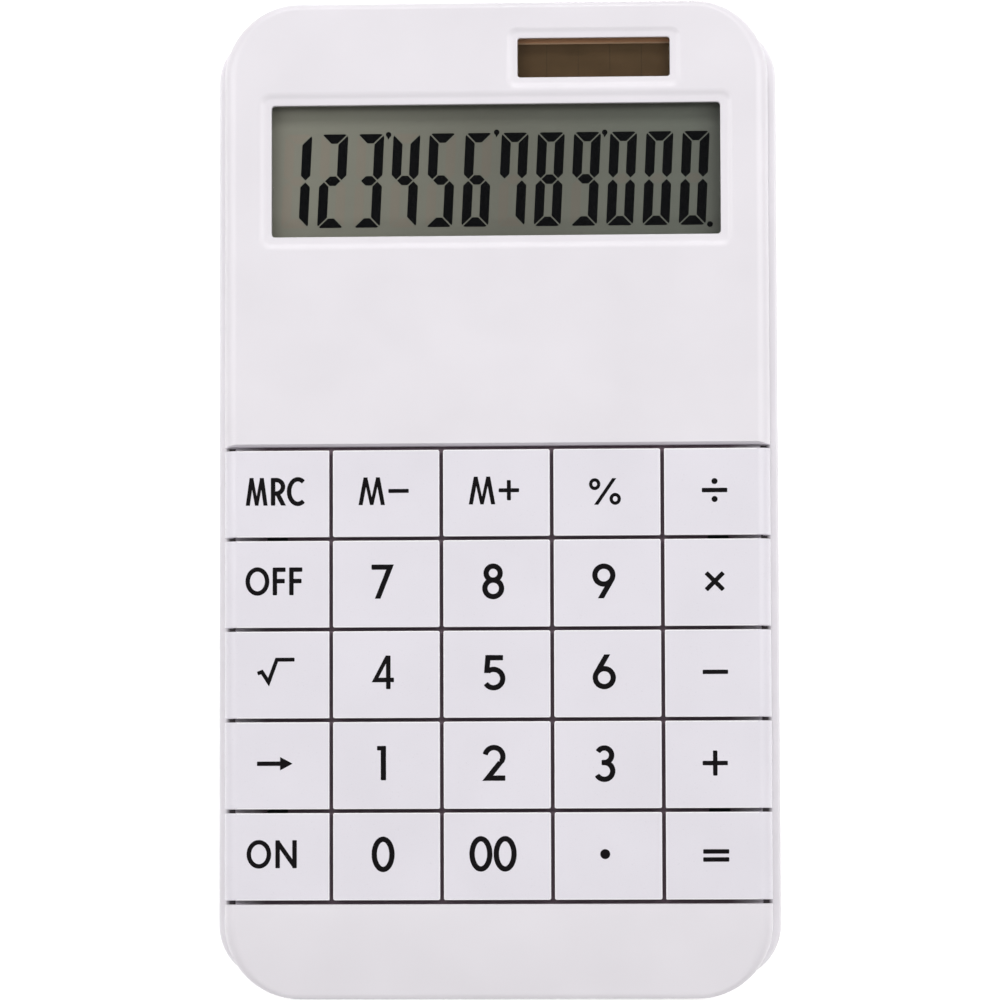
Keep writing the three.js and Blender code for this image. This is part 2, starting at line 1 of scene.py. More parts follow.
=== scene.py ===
"""A slim desk calculator: the looks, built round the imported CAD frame.

Everything is modelled in millimetres, most of it in the face frame: x runs across the
face, y along it towards the display end, and z is the height over the key tops. The
face frame is read off the CAD's own parts, and every mesh ends up in metres in the
CAD frame.
"""
import json
import math

import bmesh
import bpy
from mathutils import Matrix, Vector
from mathutils.geometry import delaunay_2d_cdt


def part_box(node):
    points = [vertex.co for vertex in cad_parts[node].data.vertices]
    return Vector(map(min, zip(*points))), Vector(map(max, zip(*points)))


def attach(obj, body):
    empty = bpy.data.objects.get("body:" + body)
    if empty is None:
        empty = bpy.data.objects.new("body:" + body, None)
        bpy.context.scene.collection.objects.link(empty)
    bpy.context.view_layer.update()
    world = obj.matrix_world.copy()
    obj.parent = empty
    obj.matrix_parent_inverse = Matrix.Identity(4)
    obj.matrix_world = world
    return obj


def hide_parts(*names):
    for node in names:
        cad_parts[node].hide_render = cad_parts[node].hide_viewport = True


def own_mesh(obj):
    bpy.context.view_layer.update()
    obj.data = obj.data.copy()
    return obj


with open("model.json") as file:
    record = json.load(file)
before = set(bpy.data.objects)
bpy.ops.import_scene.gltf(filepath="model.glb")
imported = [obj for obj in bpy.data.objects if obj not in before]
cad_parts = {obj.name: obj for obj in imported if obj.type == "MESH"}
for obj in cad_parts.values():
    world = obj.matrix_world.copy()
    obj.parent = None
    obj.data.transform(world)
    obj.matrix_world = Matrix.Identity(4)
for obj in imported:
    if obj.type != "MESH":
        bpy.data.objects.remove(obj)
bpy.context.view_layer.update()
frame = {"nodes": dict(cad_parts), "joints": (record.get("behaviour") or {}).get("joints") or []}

MM = 0.001
NODES = frame["nodes"]

# ---- driving dimensions, in millimetres ----

KEY_GAP = 0.8
KEY_PLATE = 1.6
KEY_EDGE = (0.2, 0.08)   # width and depth of the rounded upper edges of the keys, which carry a painted highlight
KEY_SPREAD = 0.05        # the caps reach this far past the CAD keys on each side
SKIRT_WALL = 1.4
SIDE_FILLET = 2.4        # along the long sides of the face
END_FILLET = 1.3         # along its two ends
FACE_CORNER = 13.6
FACE_DEPTH = 6.0
FACE_LEAN = 2.5          # how far the end walls lean in below the straight part
LEAN_START = 3.4
CHIN_START = -74.0
CHIN_DROP = 1.85
BROW_LENGTH = 12.0
BROW_DROP = 0.075
COVE_FLOOR = 0.46
TRAY_CORNER = 10.0
TRAY_WALL = 2.1
TRAY_BEVEL = (3.5, 3.0)
TRAY_RIM = -6.3
INK = 0.02               # thickness of a printed legend


# ---- frames ----

PRESS_AXIS = next(j["axis"] for j in frame["joints"] if j["type"] == "slide")
TILT = math.atan2(PRESS_AXIS[1], -PRESS_AXIS[2])
FACE_TURN = Matrix.Rotation(TILT, 3, "X")


def turned_box(node, rotation, origin):
    """Lowest and highest corner of a CAD node in a turned frame, in millimetres."""
    back = rotation.transposed()
    points = [back @ (v.co / MM - origin) for v in NODES[node].data.vertices]
    low = Vector(min(p[i] for p in points) for i in range(3))
    high = Vector(max(p[i] for p in points) for i in range(3))
    return low, high


def centre_of(box):
    """The x and y of the middle of a (lowest, highest) pair of corners."""
    low, high = box
    return (low.x + high.x) / 2, (low.y + high.y) / 2


def face_origin():
    """The middle of the front cover's upper side, in the desk frame."""
    box = turned_box("front_cover", FACE_TURN, Vector((0, 0, 0)))
    return FACE_TURN @ Vector((*centre_of(box), box[1].z))


FACE_ORIGIN = face_origin()
FACE_TO_DESK = Matrix.Translation(FACE_ORIGIN) @ FACE_TURN.to_4x4()
DESK = Matrix.Scale(MM, 4)
FACE = DESK @ FACE_TO_DESK


def face_box(node):
    return turned_box(node, FACE_TURN, FACE_ORIGIN)


def desk_box(node):
    low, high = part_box(node)
    return low / MM, high / MM


HALF_WIDTH, HALF_LENGTH, _ = face_box("front_cover")[1]
HALF_LENGTH -= 0.02      # keeps the visible cover inside the CAD one
KEY_BOXES = {n: face_box(n) for n in sorted(NODES) if n.startswith("key_")}
KEYPAD_LOW = min(low.y for low, high in KEY_BOXES.values()) - KEY_GAP / 2
KEYPAD_HIGH = max(high.y for low, high in KEY_BOXES.values()) + KEY_GAP / 2
COLUMN_PITCH = KEY_BOXES["key_5"][1].x - KEY_BOXES["key_5"][0].x + KEY_GAP


def stem_place(node):
    """Where a key's stem stands: on the grid of columns, halfway up its row."""
    x, y = centre_of(KEY_BOXES[node])
    return round(x / COLUMN_PITCH) * COLUMN_PITCH, y


# ---- outlines and solids ----

def arc(x, y, radius, start, end, steps):
    """Points along a circular arc, angles in degrees, both ends included."""
    angles = [math.radians(start + (end - start) * i / steps) for i in range(steps + 1)]
    return [(x + radius * math.cos(a), y + radius * math.sin(a)) for a in angles]


def rounded_outline(x0, x1, y0, y1, radius, steps=8):
    """A rounded rectangle, anticlockwise, with the same number of points for any size."""
    r = max(radius, 0.001)
    return (arc(x1 - r, y1 - r, r, 0, 90, steps) + arc(x0 + r, y1 - r, r, 90, 180, steps)
            + arc(x0 + r, y0 + r, r, 180, 270, steps) + arc(x1 - r, y0 + r, r, 270, 360, steps))


def ring(outline, z):
    return [Vector((x, y, z)) for x, y in outline]


def quarter_round(steps):
    """A rounded edge from its wall to its top, as (share inwards, share still to rise)."""
    angles = [math.pi / 2 * i / steps for i in range(steps + 1)]
    return [(1 - math.cos(a), 1 - math.sin(a)) for a in angles]


def loft(rings):
    """A closed solid through a stack of outlines with equal numbers of points."""
    bm = bmesh.new()
    loops = [[bm.verts.new(p) for p in points] for points in rings]
    count = len(loops[0])
    for lower, upper in zip(loops, loops[1:]):
        for i in range(count):
            j = (i + 1) % count
            bm.faces.new((lower[i], lower[j], upper[j], upper[i]))
    bm.faces.new(list(reversed(loops[0])))
    bm.faces.new(loops[-1])
    bmesh.ops.recalc_face_normals(bm, faces=bm.faces)
    return bm


def lathe(profile, steps=32):
    """A solid of revolution from (radius, height) points that start and end on the axis."""
    bm = bmesh.new()
    rows = []
    for radius, height in profile:
        if radius < 1e-6:
            rows.append([bm.verts.new((0, 0, height))])
            continue
        turn = [2 * math.pi * i / steps for i in range(steps)]
        rows.append([bm.verts.new((radius * math.cos(a), radius * math.sin(a), height))
                     for a in turn])
    for lower, upper in zip(rows, rows[1:]):
        for i in range(steps):
            j = (i + 1) % steps
            corners = [lower[i % len(lower)], lower[j % len(lower)],
                       upper[j % len(upper)], upper[i % len(upper)]]
            corners = list(dict.fromkeys(corners))
            if len(corners) > 2:
                bm.faces.new(corners)
    bmesh.ops.recalc_face_normals(bm, faces=bm.faces)
    return bm


def block(x0, x1, y0, y1, z0, z1):
    corners = [(x0, y0), (x1, y0), (x1, y1), (x0, y1)]
    return loft([ring(corners, z0), ring(corners, z1)])


def soft_block(x0, x1, y0, y1, z0, z1, corner, edge):
    """A block with rounded upright corners and rounded upper and lower edges."""
    rounding = quarter_round(3)
    rings = []
    for side, z, shares in ((-1, z0, rounding[::-1]), (1, z1, rounding)):
        for inwards, rise in shares:
            inset = edge * inwards
            outline = rounded_outline(x0 + inset, x1 - inset, y0 + inset, y1 - inset,
                                      corner - inset, 4)
            rings.append(ring(outline, z - side * edge * rise))
    return loft(rings)


def drum(radius, z0, z1, x=0.0, y=0.0, steps=24):
    return loft([ring(arc(x, y, radius, 0, 360 - 360 / steps, steps - 1), z) for z in (z0, z1)])


def along_x(profile, x0, x1):
    """A (y, z) outline swept from x0 to x1."""
    return loft([[Vector((x, y, z)) for y, z in profile] for x in (x0, x1)])


def mesh_from(bm, name="scratch"):
    mesh = bpy.data.meshes.new(name)
    bm.to_mesh(mesh)
    bm.free()
    return mesh


def add_object(name, data):
    obj = bpy.data.objects.new(name, data)
    bpy.context.scene.collection.objects.link(obj)
    return obj


def merged(*parts):
    """Several separate solids in one mesh."""
    whole = bmesh.new()
    for part in parts:
        scratch = mesh_from(part)
        whole.from_mesh(scratch)
        bpy.data.meshes.remove(scratch)
    return whole


def placed(bm, x, y, z=0.0):
    bmesh.ops.translate(bm, verts=bm.verts, vec=(x, y, z))
    return bm


def boolean(body, tool, operation="DIFFERENCE"):
    """Cuts or joins two solids and returns the result as a new bmesh."""
    objects = [add_object("scratch", mesh_from(bm)) for bm in (body, tool)]
    modifier = objects[0].modifiers.new("scratch", "BOOLEAN")
    modifier.operation = operation
    modifier.object = objects[1]
    modifier.solver = "EXACT"
    bpy.context.view_layer.update()
    evaluated = objects[0].evaluated_get(bpy.context.evaluated_depsgraph_get())
    result = bmesh.new()
    result.from_mesh(evaluated.to_mesh())
    evaluated.to_mesh_clear()
    for obj in objects:
        mesh = obj.data
        bpy.data.objects.remove(obj)
        bpy.data.meshes.remove(mesh)
    return result


def polygon_planes(polygon):
    """The edges of a convex polygon as (point, inward direction) pairs."""
    corners = [Vector(p) for p in polygon]
    area = sum(a.cross(b) for a, b in zip(corners, corners[1:] + corners[:1]))
    turn = 1 if area > 0 else -1
    return [(a, Vector((a.y - b.y, b.x - a.x)) * turn)
            for a, b in zip(corners, corners[1:] + corners[:1])]


def inside(point, planes):
    return all((point - corner).dot(inward) > -1e-7 for corner, inward in planes)


def plate(polygons, z0, z1):
    """The union of flat convex polygons as one thin solid."""
    points = []
    faces = []
    for polygon in polygons:
        faces.append(list(range(len(points), len(points) + len(polygon))))
        points.extend(Vector(p) for p in polygon)
    flat, _, cells, *_ = delaunay_2d_cdt(points, [], faces, 1, 1e-5)
    outlines = [polygon_planes(polygon) for polygon in polygons]
    kept = []
    for cell in cells:
        centre = sum((flat[i] for i in cell), Vector((0, 0))) / 3
        if any(inside(centre, planes) for planes in outlines):
            kept.append(cell)
    bm = bmesh.new()
    upper = [bm.verts.new((p.x, p.y, z1)) for p in flat]
    lower = [bm.verts.new((p.x, p.y, z0)) for p in flat]
    edges = {}
    for a, b, c in kept:
        bm.faces.new((upper[a], upper[b], upper[c]))
        bm.faces.new((lower[c], lower[b], lower[a]))
        edges.update({(a, b): True, (b, c): True, (c, a): True})
    for start, end in edges:
        if (end, start) not in edges:
            bm.faces.new((lower[start], lower[end], upper[end], upper[start]))
    for vert in [v for v in bm.verts if not v.link_faces]:
        bm.verts.remove(vert)
    bmesh.ops.recalc_face_normals(bm, faces=bm.faces)
    return bm


# ---- materials ----

def node_material(name):
    """A new material with a Principled shader."""
    material = bpy.data.materials.new(name)
    material.use_nodes = True
    tree = material.node_tree
    return material, tree, tree.nodes["Principled BSDF"]


def add_node(tree, kind, **values):
    """A new shader node, with values for its named inputs."""
    node = tree.nodes.new("ShaderNode" + kind)
    for name, value in values.items():
        node.inputs[name.replace("_", " ")].default_value = value
    return node


def object_place(tree):
    return add_node(tree, "TexCoord").outputs["Object"]


def noise(tree, scale, detail, place=None):
    """Cloudy variation over an object."""
    node = add_node(tree, "TexNoise", Scale=scale, Detail=detail)
    tree.links.new(object_place(tree) if place is None else place, node.inputs["Vector"])
    return node.outputs["Fac"]


def colour(tree, factor, steps, target):
    """Colours an input by a factor, through (position, colour) steps."""
    ramp = add_node(tree, "ValToRGB")
    stops = ramp.color_ramp.elements
    for i in (0, -1):
        stops[i].position, tone = steps[i]
        stops[i].color = (*tone, 1)
    for position, tone in steps[1:-1]:
        stops.new(position).color = (*tone, 1)
    tree.links.new(factor, ramp.inputs["Fac"])
    tree.links.new(ramp.outputs["Color"], target)


def vary(tree, factor, low, high, target):
    """Varies a number between low and high with a factor."""
    node = add_node(tree, "MapRange", From_Min=0.3, From_Max=0.7, To_Min=low, To_Max=high)
    tree.links.new(factor, node.inputs["Value"])
    tree.links.new(node.outputs["Result"], target)


def math_node(tree, operation, value, *constants):
    node = add_node(tree, "Math")
    node.operation = operation
    tree.links.new(value, node.inputs[0])
    for i, constant in enumerate(constants):
        node.inputs[i + 1].default_value = constant
    return node.outputs["Value"]


def sideways(tree):
    """The x coordinate on an object."""
    split = add_node(tree, "SeparateXYZ")
    tree.links.new(object_place(tree), split.inputs["Vector"])
    return split.outputs["X"]


def share_between(tree, value, start, end):
    """How far a length is on its way between two lengths in millimetres."""
    node = add_node(tree, "MapRange", From_Min=start * MM, From_Max=end * MM)
    tree.links.new(value, node.inputs["Value"])
    return node.outputs["Result"]


def moulded(name, tone, roughness, grain=0.00002, variation=0.02, coat=0.0, specular=0.5,
            blotch_scale=60.0):
    """Moulded plastic or rubber: a faint cloudiness, and a fine spark-eroded grain."""
    material, tree, shader = node_material(name)
    dark = [c * (1 - variation) for c in tone]
    light = [min(1.0, c * (1 + variation)) for c in tone]
    cloud = noise(tree, blotch_scale, 2.0)
    colour(tree, cloud, [(0.3, dark), (0.7, light)], shader.inputs["Base Color"])
    fine = noise(tree, 3500.0, 2.0)
    vary(tree, fine, roughness - 0.04, roughness + 0.04, shader.inputs["Roughness"])
    bump = add_node(tree, "Bump", Strength=0.35, Distance=grain)
    tree.links.new(fine, bump.inputs["Height"])
    tree.links.new(bump.outputs["Normal"], shader.inputs["Normal"])
    shader.inputs["Specular IOR Level"].default_value = specular
    shader.inputs["Coat Weight"].default_value = coat
    return material


def clear_pane(name, tint, gloss_roughness=0.03, mirror=0.04):
    """A clear or tinted pane: it tints what is behind it, and mirrors more at low angles."""
    material, tree, shader = node_material(name)
    tree.nodes.remove(shader)
    through = add_node(tree, "BsdfTransparent")
    low = [c * 0.985 for c in tint]
    colour(tree, noise(tree, 40.0, 1.0), [(0.3, low), (0.7, tint)], through.inputs["Color"])
    gloss = add_node(tree, "BsdfGlossy", Roughness=gloss_roughness)
    facing = add_node(tree, "LayerWeight", Blend=0.5)
    power = math_node(tree, "POWER", facing.outputs["Facing"], 5.0)
    schlick = math_node(tree, "MULTIPLY_ADD", power, 1 - mirror, mirror)
    mix = add_node(tree, "MixShader")
    tree.links.new(schlick, mix.inputs["Fac"])
    tree.links.new(through.outputs["BSDF"], mix.inputs[1])
    tree.links.new(gloss.outputs["BSDF"], mix.inputs[2])
    tree.links.new(mix.outputs["Shader"], tree.nodes["Material Output"].inputs["Surface"])
    return material


def brushed_metal(name, tone, roughness):
    """Plated steel with fine lines that run one way."""
    material, tree, shader = node_material(name)
    stretch = add_node(tree, "Mapping", Scale=(1.0, 14.0, 1.0))
    tree.links.new(object_place(tree), stretch.inputs["Vector"])
    lines = noise(tree, 900.0, 3.0, stretch.outputs["Vector"])
    dark = [c * 0.85 for c in tone]
    colour(tree, lines, [(0.3, dark), (0.7, tone)], shader.inputs["Base Color"])
    vary(tree, lines, roughness - 0.07, roughness + 0.08, shader.inputs["Roughness"])
    shader.inputs["Metallic"].default_value = 1.0
    return material


# Painted light on the display's ground: lighter at the left, darker towards the right.
GROUND_PAINTED_LIGHT_TONES = [(0.0, (0.25, 0.238, 0.208)), (0.1, (0.215, 0.208, 0.18)),
                (0.5, (0.162, 0.158, 0.138)), (0.93, (0.142, 0.146, 0.130)),
                (1.0, (0.128, 0.128, 0.118))]


def display_ground_painted_light(name, tint):
    """The grey-green ground of the display, with painted light: lighter towards the left-hand side,
    darker at the right.
    """
    material, tree, shader = node_material(name)
    across = share_between(tree, sideways(tree), -41.0, 41.0)
    tones = [(at, [c * t for c, t in zip(tone, tint)]) for at, tone in GROUND_PAINTED_LIGHT_TONES]
    colour(tree, across, tones, shader.inputs["Base Color"])
    shader.inputs["Specular IOR Level"].default_value = 0.15
    vary(tree, noise(tree, 900.0, 3.0), 0.5, 0.6, shader.inputs["Roughness"])
    return material


# Painted shade and light on the key deck: dark across the middle, lighter towards the ends, with a
# dark shadow band near each end.
DECK_PAINTED_SHADE_AND_LIGHT_TONES = [(0.2, (0.25, 0.18, 0.215)), (0.60, (0.70, 0.66, 0.70)),
              (0.76, (0.85, 0.81, 0.86)), (0.785, (0.05, 0.04, 0.045)),
              (0.88, (0.05, 0.04, 0.045)), (0.95, (0.75, 0.72, 0.76))]


def deck_with_painted_shade():
    """The case plastic under the keys, with painted shade: dark, but painted light near its ends
    and a painted shadow band there.
    """
    material, tree, shader = node_material("key_deck_painted_shade")
    outwards = math_node(tree, "ABSOLUTE", sideways(tree))
    across = share_between(tree, outwards, 40.0, 50.0)
    colour(tree, across, DECK_PAINTED_SHADE_AND_LIGHT_TONES, shader.inputs["Base Color"])
    vary(tree, noise(tree, 2500.0, 3.0), 0.55, 0.65, shader.inputs["Roughness"])
    return material


LOOKS = {
    # painted shade: the deck under the keys
    "deck": deck_with_painted_shade(),
    "case": moulded("case_plastic", (0.775, 0.745, 0.785), 0.34, grain=0.000012),
    "tray": moulded("tray_plastic", (0.87, 0.845, 0.88), 0.4),
    "key": moulded("key_plastic", (0.757, 0.73, 0.785), 0.31, grain=0.000006),
    # painted highlight: a lighter copy of the key plastic for the keys' rounded top edges
    "key_edge_painted_highlight": moulded("key_edge_painted_highlight", (0.90, 0.885, 0.91), 0.3, grain=0.000004),
    "ink": moulded("legend_ink", (0.006, 0.005, 0.006), 0.6, grain=0.000005, variation=0.2,
                   specular=0.05),
    "pane": clear_pane("window_acrylic", (0.97, 0.98, 0.965), mirror=0.003),
    "cell_pane": clear_pane("cell_window_acrylic", (0.86, 0.80, 0.72), mirror=0.01),
    "glass": clear_pane("display_glass", (0.99, 0.995, 0.99), 0.05, 0.005),
    # the display's ground, with painted light across it
    "display_ground_painted_light": display_ground_painted_light("display_ground_painted_light", (1, 1, 1)),
    "reflector": moulded("reflector_film", (0.47, 0.48, 0.42), 0.5, variation=0.04,
                         blotch_scale=150.0),
    "segment": moulded("segment_ink", (0.003, 0.003, 0.004), 0.6, grain=0.000003, variation=0.2,
                       specular=0.04),
    # the segments at rest share the display ground's painted light
    "ghost": display_ground_painted_light("segment_at_rest", (1.07, 0.97, 0.96)),
    "frame": moulded("frame_plastic", (0.13, 0.13, 0.13), 0.5),
    "rubber": moulded("connector_rubber", (0.05, 0.05, 0.055), 0.75, grain=0.00004),
    "foot": moulded("foot_rubber", (0.05, 0.05, 0.055), 0.7, grain=0.00005),
    "mat": moulded("mat_silicone", (0.10, 0.105, 0.11), 0.6),
    "board": moulded("board_laminate", (0.02, 0.14, 0.06), 0.4, coat=0.4, variation=0.12),
    "epoxy": moulded("epoxy_resin", (0.012, 0.012, 0.013), 0.25, coat=0.3),
    "sleeve": moulded("capacitor_sleeve", (0.02, 0.04, 0.13), 0.35),
    "ceramic": moulded("capacitor_ceramic", (0.46, 0.19, 0.05), 0.5),
    "red": moulded("wire_red", (0.45, 0.02, 0.015), 0.45),
    "black": moulded("wire_black", (0.012, 0.012, 0.013), 0.45),
    "cell_steel": brushed_metal("cell_steel", (0.62, 0.62, 0.63), 0.3),
    "contact_steel": brushed_metal("contact_steel", (0.66, 0.65, 0.62), 0.3),
    "screw_steel": brushed_metal("screw_steel", (0.55, 0.55, 0.56), 0.35),
    "solar": moulded("solar_glass", (0.86, 0.75, 0.71), 0.4, variation=0.06, specular=0.2),
    "strip": moulded("solar_strip", (0.150, 0.126, 0.098), 0.4, variation=0.12, specular=0.2,
                     blotch_scale=180.0),
    "strip_line": moulded("solar_line", (0.115, 0.10, 0.08), 0.4, specular=0.2),
    "busbar": moulded("solar_busbar", (0.92, 0.66, 0.56), 0.4, variation=0.1, specular=0.2),
}


# ---- pieces ----

def piece(name, bm, look, body="case", replaces=(), place=FACE, smooth=35.0,
          weighted=False, second_look=None):
    """Turns a solid in millimetres into a finished piece that rides on a body."""
    bmesh.ops.remove_doubles(bm, verts=bm.verts, dist=1e-5)
    bmesh.ops.transform(bm, matrix=place, verts=bm.verts)
    mesh = mesh_from(bm, name)
    mesh.materials.append(LOOKS[look])
    if second_look:
        mesh.materials.append(LOOKS[second_look])
    mesh.shade_smooth()
    mesh.set_sharp_from_angle(angle=math.radians(smooth))
    obj = add_object(name, mesh)
    if weighted:
        modifier = obj.modifiers.new("weighted_normals", "WEIGHTED_NORMAL")
        modifier.keep_sharp = True
        modifier.weight = 100
    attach(obj, body)
    if replaces:
        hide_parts(*replaces)
    return obj


# ---- front cover ----

WELL_LOW = KEYPAD_LOW - 0.4
WELL_HIGH = KEYPAD_HIGH + 0.38
DECK_TOP = -2.9
DECK_UNDER = DECK_TOP - 1.2
DECK_HALF_WIDTH = 47.6
LEDGE_TOP = -4.7         # the deck's step down towards the keys' skirts
CAVITY_TOP = -2.0
# The windows' openings: left, right, lower and upper edge, corner and width of the border.
LCD_OPENING = (-40.85, 40.85, 47.65, 71.75, 0.6, 2.1)
SOLAR_OPENING = (4.05, 31.75, 76.55, 83.75, 0.5, 1.9)


def fillet_radius(x, y):
    """The fillet of the face's rim: wider along the sides than along the ends."""
    reach_x = max(0.0, abs(x) - (HALF_WIDTH - FACE_CORNER)) / FACE_CORNER
    reach_y = max(0.0, abs(y) - (HALF_LENGTH - FACE_CORNER)) / FACE_CORNER
    length = math.hypot(reach_x, reach_y) or 1.0
    share = (reach_x / length) ** 2
    return SIDE_FILLET * share + END_FILLET * (1 - share)


def rim_ring(inwards, rise, outline, normals):
    """The rim's outline at one step of its fillet."""
    points = []
    for (x, y), (nx, ny) in zip(outline, normals):
        radius = fillet_radius(x, y)
        inset = radius * inwards
        points.append(Vector((x - nx * inset, y - ny * inset, -radius * rise)))
    return points


def corner_normals(steps):
    """The outward directions that go with the points of a rounded outline."""
    return [point for k in range(4) for point in arc(0, 0, 1, 90 * k, 90 * (k + 1), steps)]


def lean_in(depth):
    """How far the end walls have leaned in at a depth under the face."""
    share = max(0.0, (depth - LEAN_START) / (FACE_DEPTH - LEAN_START))
    return FACE_LEAN * share ** 2.2


def chin_fall(y):
    """How far the face has curved down towards the user's end."""
    share = max(0.0, (CHIN_START - y) / (CHIN_START + HALF_LENGTH))
    return CHIN_DROP * share ** 2


def brow_fall(y):
    """How far the face has curved down towards the display end."""
    share = max(0.0, (y - HALF_LENGTH + BROW_LENGTH) / BROW_LENGTH)
    return BROW_DROP * share ** 2


def cover_outside():
    """The cover's outer form, with its end walls leaning in and its face curved at the ends."""
    corner_steps = 20
    wall_steps = 6
    outline = rounded_outline(-HALF_WIDTH, HALF_WIDTH, -HALF_LENGTH, HALF_LENGTH,
                              FACE_CORNER, corner_steps)
    normals = corner_normals(corner_steps)
    rings = []
    for i in range(wall_steps + 1):
        depth = FACE_DEPTH - (FACE_DEPTH - LEAN_START) * i / wall_steps
        shrink = 1 - lean_in(depth) / HALF_LENGTH
        rings.append([Vector((x, y * shrink, -depth)) for x, y in outline])
    for inwards, rise in quarter_round(9):
        rings.append(rim_ring(inwards, rise, outline, normals))
    bm = loft(rings)
    y = CHIN_START
    while y > -HALF_LENGTH + 0.6:
        everything = bm.verts[:] + bm.edges[:] + bm.faces[:]
        bmesh.ops.bisect_plane(bm, geom=everything, plane_co=(0, y, 0), plane_no=(0, 1, 0))
        y -= 1.2
    for vert in bm.verts:
        hold = min(1.0, max(0.0, (LEAN_START + vert.co.z) / LEAN_START))
        vert.co.z -= (chin_fall(vert.co.y) + brow_fall(vert.co.y)) * hold
    return bm


def key_well():
    """What the keys stand in: its upper edge slopes on the display side."""
    slope_foot = -0.95
    slope_top = WELL_HIGH + 0.37
    brim = slope_top + 0.12
    crest = 0.12
    above = 2.0
    profile = [(WELL_LOW, DECK_TOP), (WELL_HIGH, DECK_TOP), (WELL_HIGH, slope_foot),
               (slope_top, -crest), (brim, 0.0), (brim, above),
               (WELL_LOW - crest, above), (WELL_LOW - crest, 0.0), (WELL_LOW, -crest)]
    reach = HALF_WIDTH + 3
    well = along_x(profile, -reach, reach)
    for side in (-1, 1):
        x0, x1 = sorted((side * DECK_HALF_WIDTH, side * reach))
        well = boolean(well, block(x0, x1, WELL_LOW, WELL_HIGH, LEDGE_TOP, -1.5), "UNION")
    return well


def window_cutter(opening):
    """A soft recess round a window: a rounded rim, a short slope and a shallow floor."""
    x0, x1, y0, y1, corner, width = opening
    depth = 3.0
    profile = [
        (width + 0.50, 0.5), (width + 0.45, 0.0), (width + 0.30, -0.01), (width + 0.05, -0.04),
        (width - 0.20, -0.11), (width - 0.45, -0.22), (width - 0.65, -0.31),
        (width - 0.85, -0.365), (width - 1.10, -0.395), (0.35, -0.42), (0.14, -0.44),
        (0.05, -0.48), (0.0, -0.56), (0.0, -depth),
    ]
    rings = [ring(rounded_outline(x0 - d, x1 + d, y0 - d, y1 + d, corner + d * 0.6), z)
             for d, z in profile]
    return loft(rings)


def deck_holes():
    """Square holes for the key stems and small round holes under two of the gaps."""
    half = 2.9
    radius = 1.9
    hole_x = 40
    low = DECK_UNDER - 1
    cutters = []
    for x, y in map(stem_place, KEY_BOXES):
        cutters.append(block(x - half, x + half, y - half, y + half, low, 0))
    row_pitch = (KEYPAD_HIGH - KEYPAD_LOW) / 5
    for row in (1, 4):
        for x in (-hole_x, hole_x):
            cutters.append(drum(radius, low, 0, x, KEYPAD_HIGH - row * row_pitch))
    return merged(*cutters)


def cover_cavities():
    """The hollow under the key deck, and the wider and higher one under the display."""
    corner = 9.0
    bottom = -FACE_DEPTH - 1
    y = HALF_LENGTH - 5.0
    hollows = []
    for wall, start, top in ((3.3, -y, DECK_UNDER), (1.9, WELL_HIGH + 1.2, CAVITY_TOP)):
        x = HALF_WIDTH - wall
        outline = rounded_outline(-x, x, start, y, corner)
        hollows.append(loft([ring(outline, bottom), ring(outline, top)]))
    return boolean(*hollows, "UNION")


def cover_bosses():
    """Four pillars for the case screws and two for the board's."""
    bosses, holes = [], []
    board_top = face_box("circuit_board")[1].z
    for node in sorted(n for n in NODES if "_screw_" in n):
        x, y = centre_of(face_box(node))
        tip = face_box(node)[1].z
        bottom = -FACE_DEPTH if node.startswith("case") else board_top + 0.1
        bosses.append(drum(2.6, bottom, -1.5, x, y))
        holes.append(drum(SCREW_HOLE, bottom - 1, tip + 0.4, x, y, 16))
    return merged(*bosses), merged(*holes)


def under_keys(face):
    """Whether a face of the cover is the deck's floor, its ledge or the wall of a hole: the faces
    that take the painted shade.
    """
    x, y, z = face.calc_center_median()
    if face.normal.z > 0.9 and min(abs(z - DECK_TOP), abs(z - LEDGE_TOP)) < 0.02:
        return True
    return DECK_UNDER < z < DECK_TOP and WELL_LOW < y < WELL_HIGH and abs(x) < HALF_WIDTH - 6


def front_cover():
    bm = boolean(cover_outside(), cover_cavities())
    bosses, boss_holes = cover_bosses()
    bm = boolean(bm, bosses, "UNION")
    for cutter in (key_well(), window_cutter(LCD_OPENING), window_cutter(SOLAR_OPENING),
                   deck_holes(), boss_holes):
        bm = boolean(bm, cutter)
    bm.normal_update()
    for face in bm.faces:
        # the deck, its ledge and the hole walls take the look with painted shade
        face.material_index = int(under_keys(face))
    piece("front_cover_shell", bm, "case", replaces=["front_cover"],
          smooth=38.0, weighted=True, second_look="deck")


# ---- keys ----

KEY_CORNER = 0.3
SKIRT_FOOT = -3.4


def plain_key(x0, x1, y0, y1):
    """A flat key cap with a finely rounded upper edge."""
    width, drop = KEY_EDGE
    rings = [ring(rounded_outline(x0, x1, y0, y1, KEY_CORNER, 3), -KEY_PLATE)]
    for inwards, rise in quarter_round(4):
        inset = width * inwards
        outline = rounded_outline(x0 + inset, x1 - inset, y0 + inset, y1 - inset,
                                  KEY_CORNER - inset, 3)
        rings.append(ring(outline, -drop * rise))
    return loft(rings)


def side_section(inset, inner, side):
    """The cross-section of a side key, drawn inwards by an inset."""
    outer = HALF_WIDTH
    width, drop = KEY_EDGE
    points = [(inner + inset, -KEY_PLATE + inset), (outer - SKIRT_WALL, -KEY_PLATE + inset),
              (outer - SKIRT_WALL, SKIRT_FOOT + inset), (outer - inset, SKIRT_FOOT + inset)]
    points += arc(outer - SIDE_FILLET, -SIDE_FILLET, SIDE_FILLET - inset, 0, 90, 9)
    points += [(inner + inset + width * (1 + x), -inset - drop * (1 - z))
               for x, z in arc(0, 0, 1, 90, 180, 3)]
    return [(side * x, z) for x, z in points]


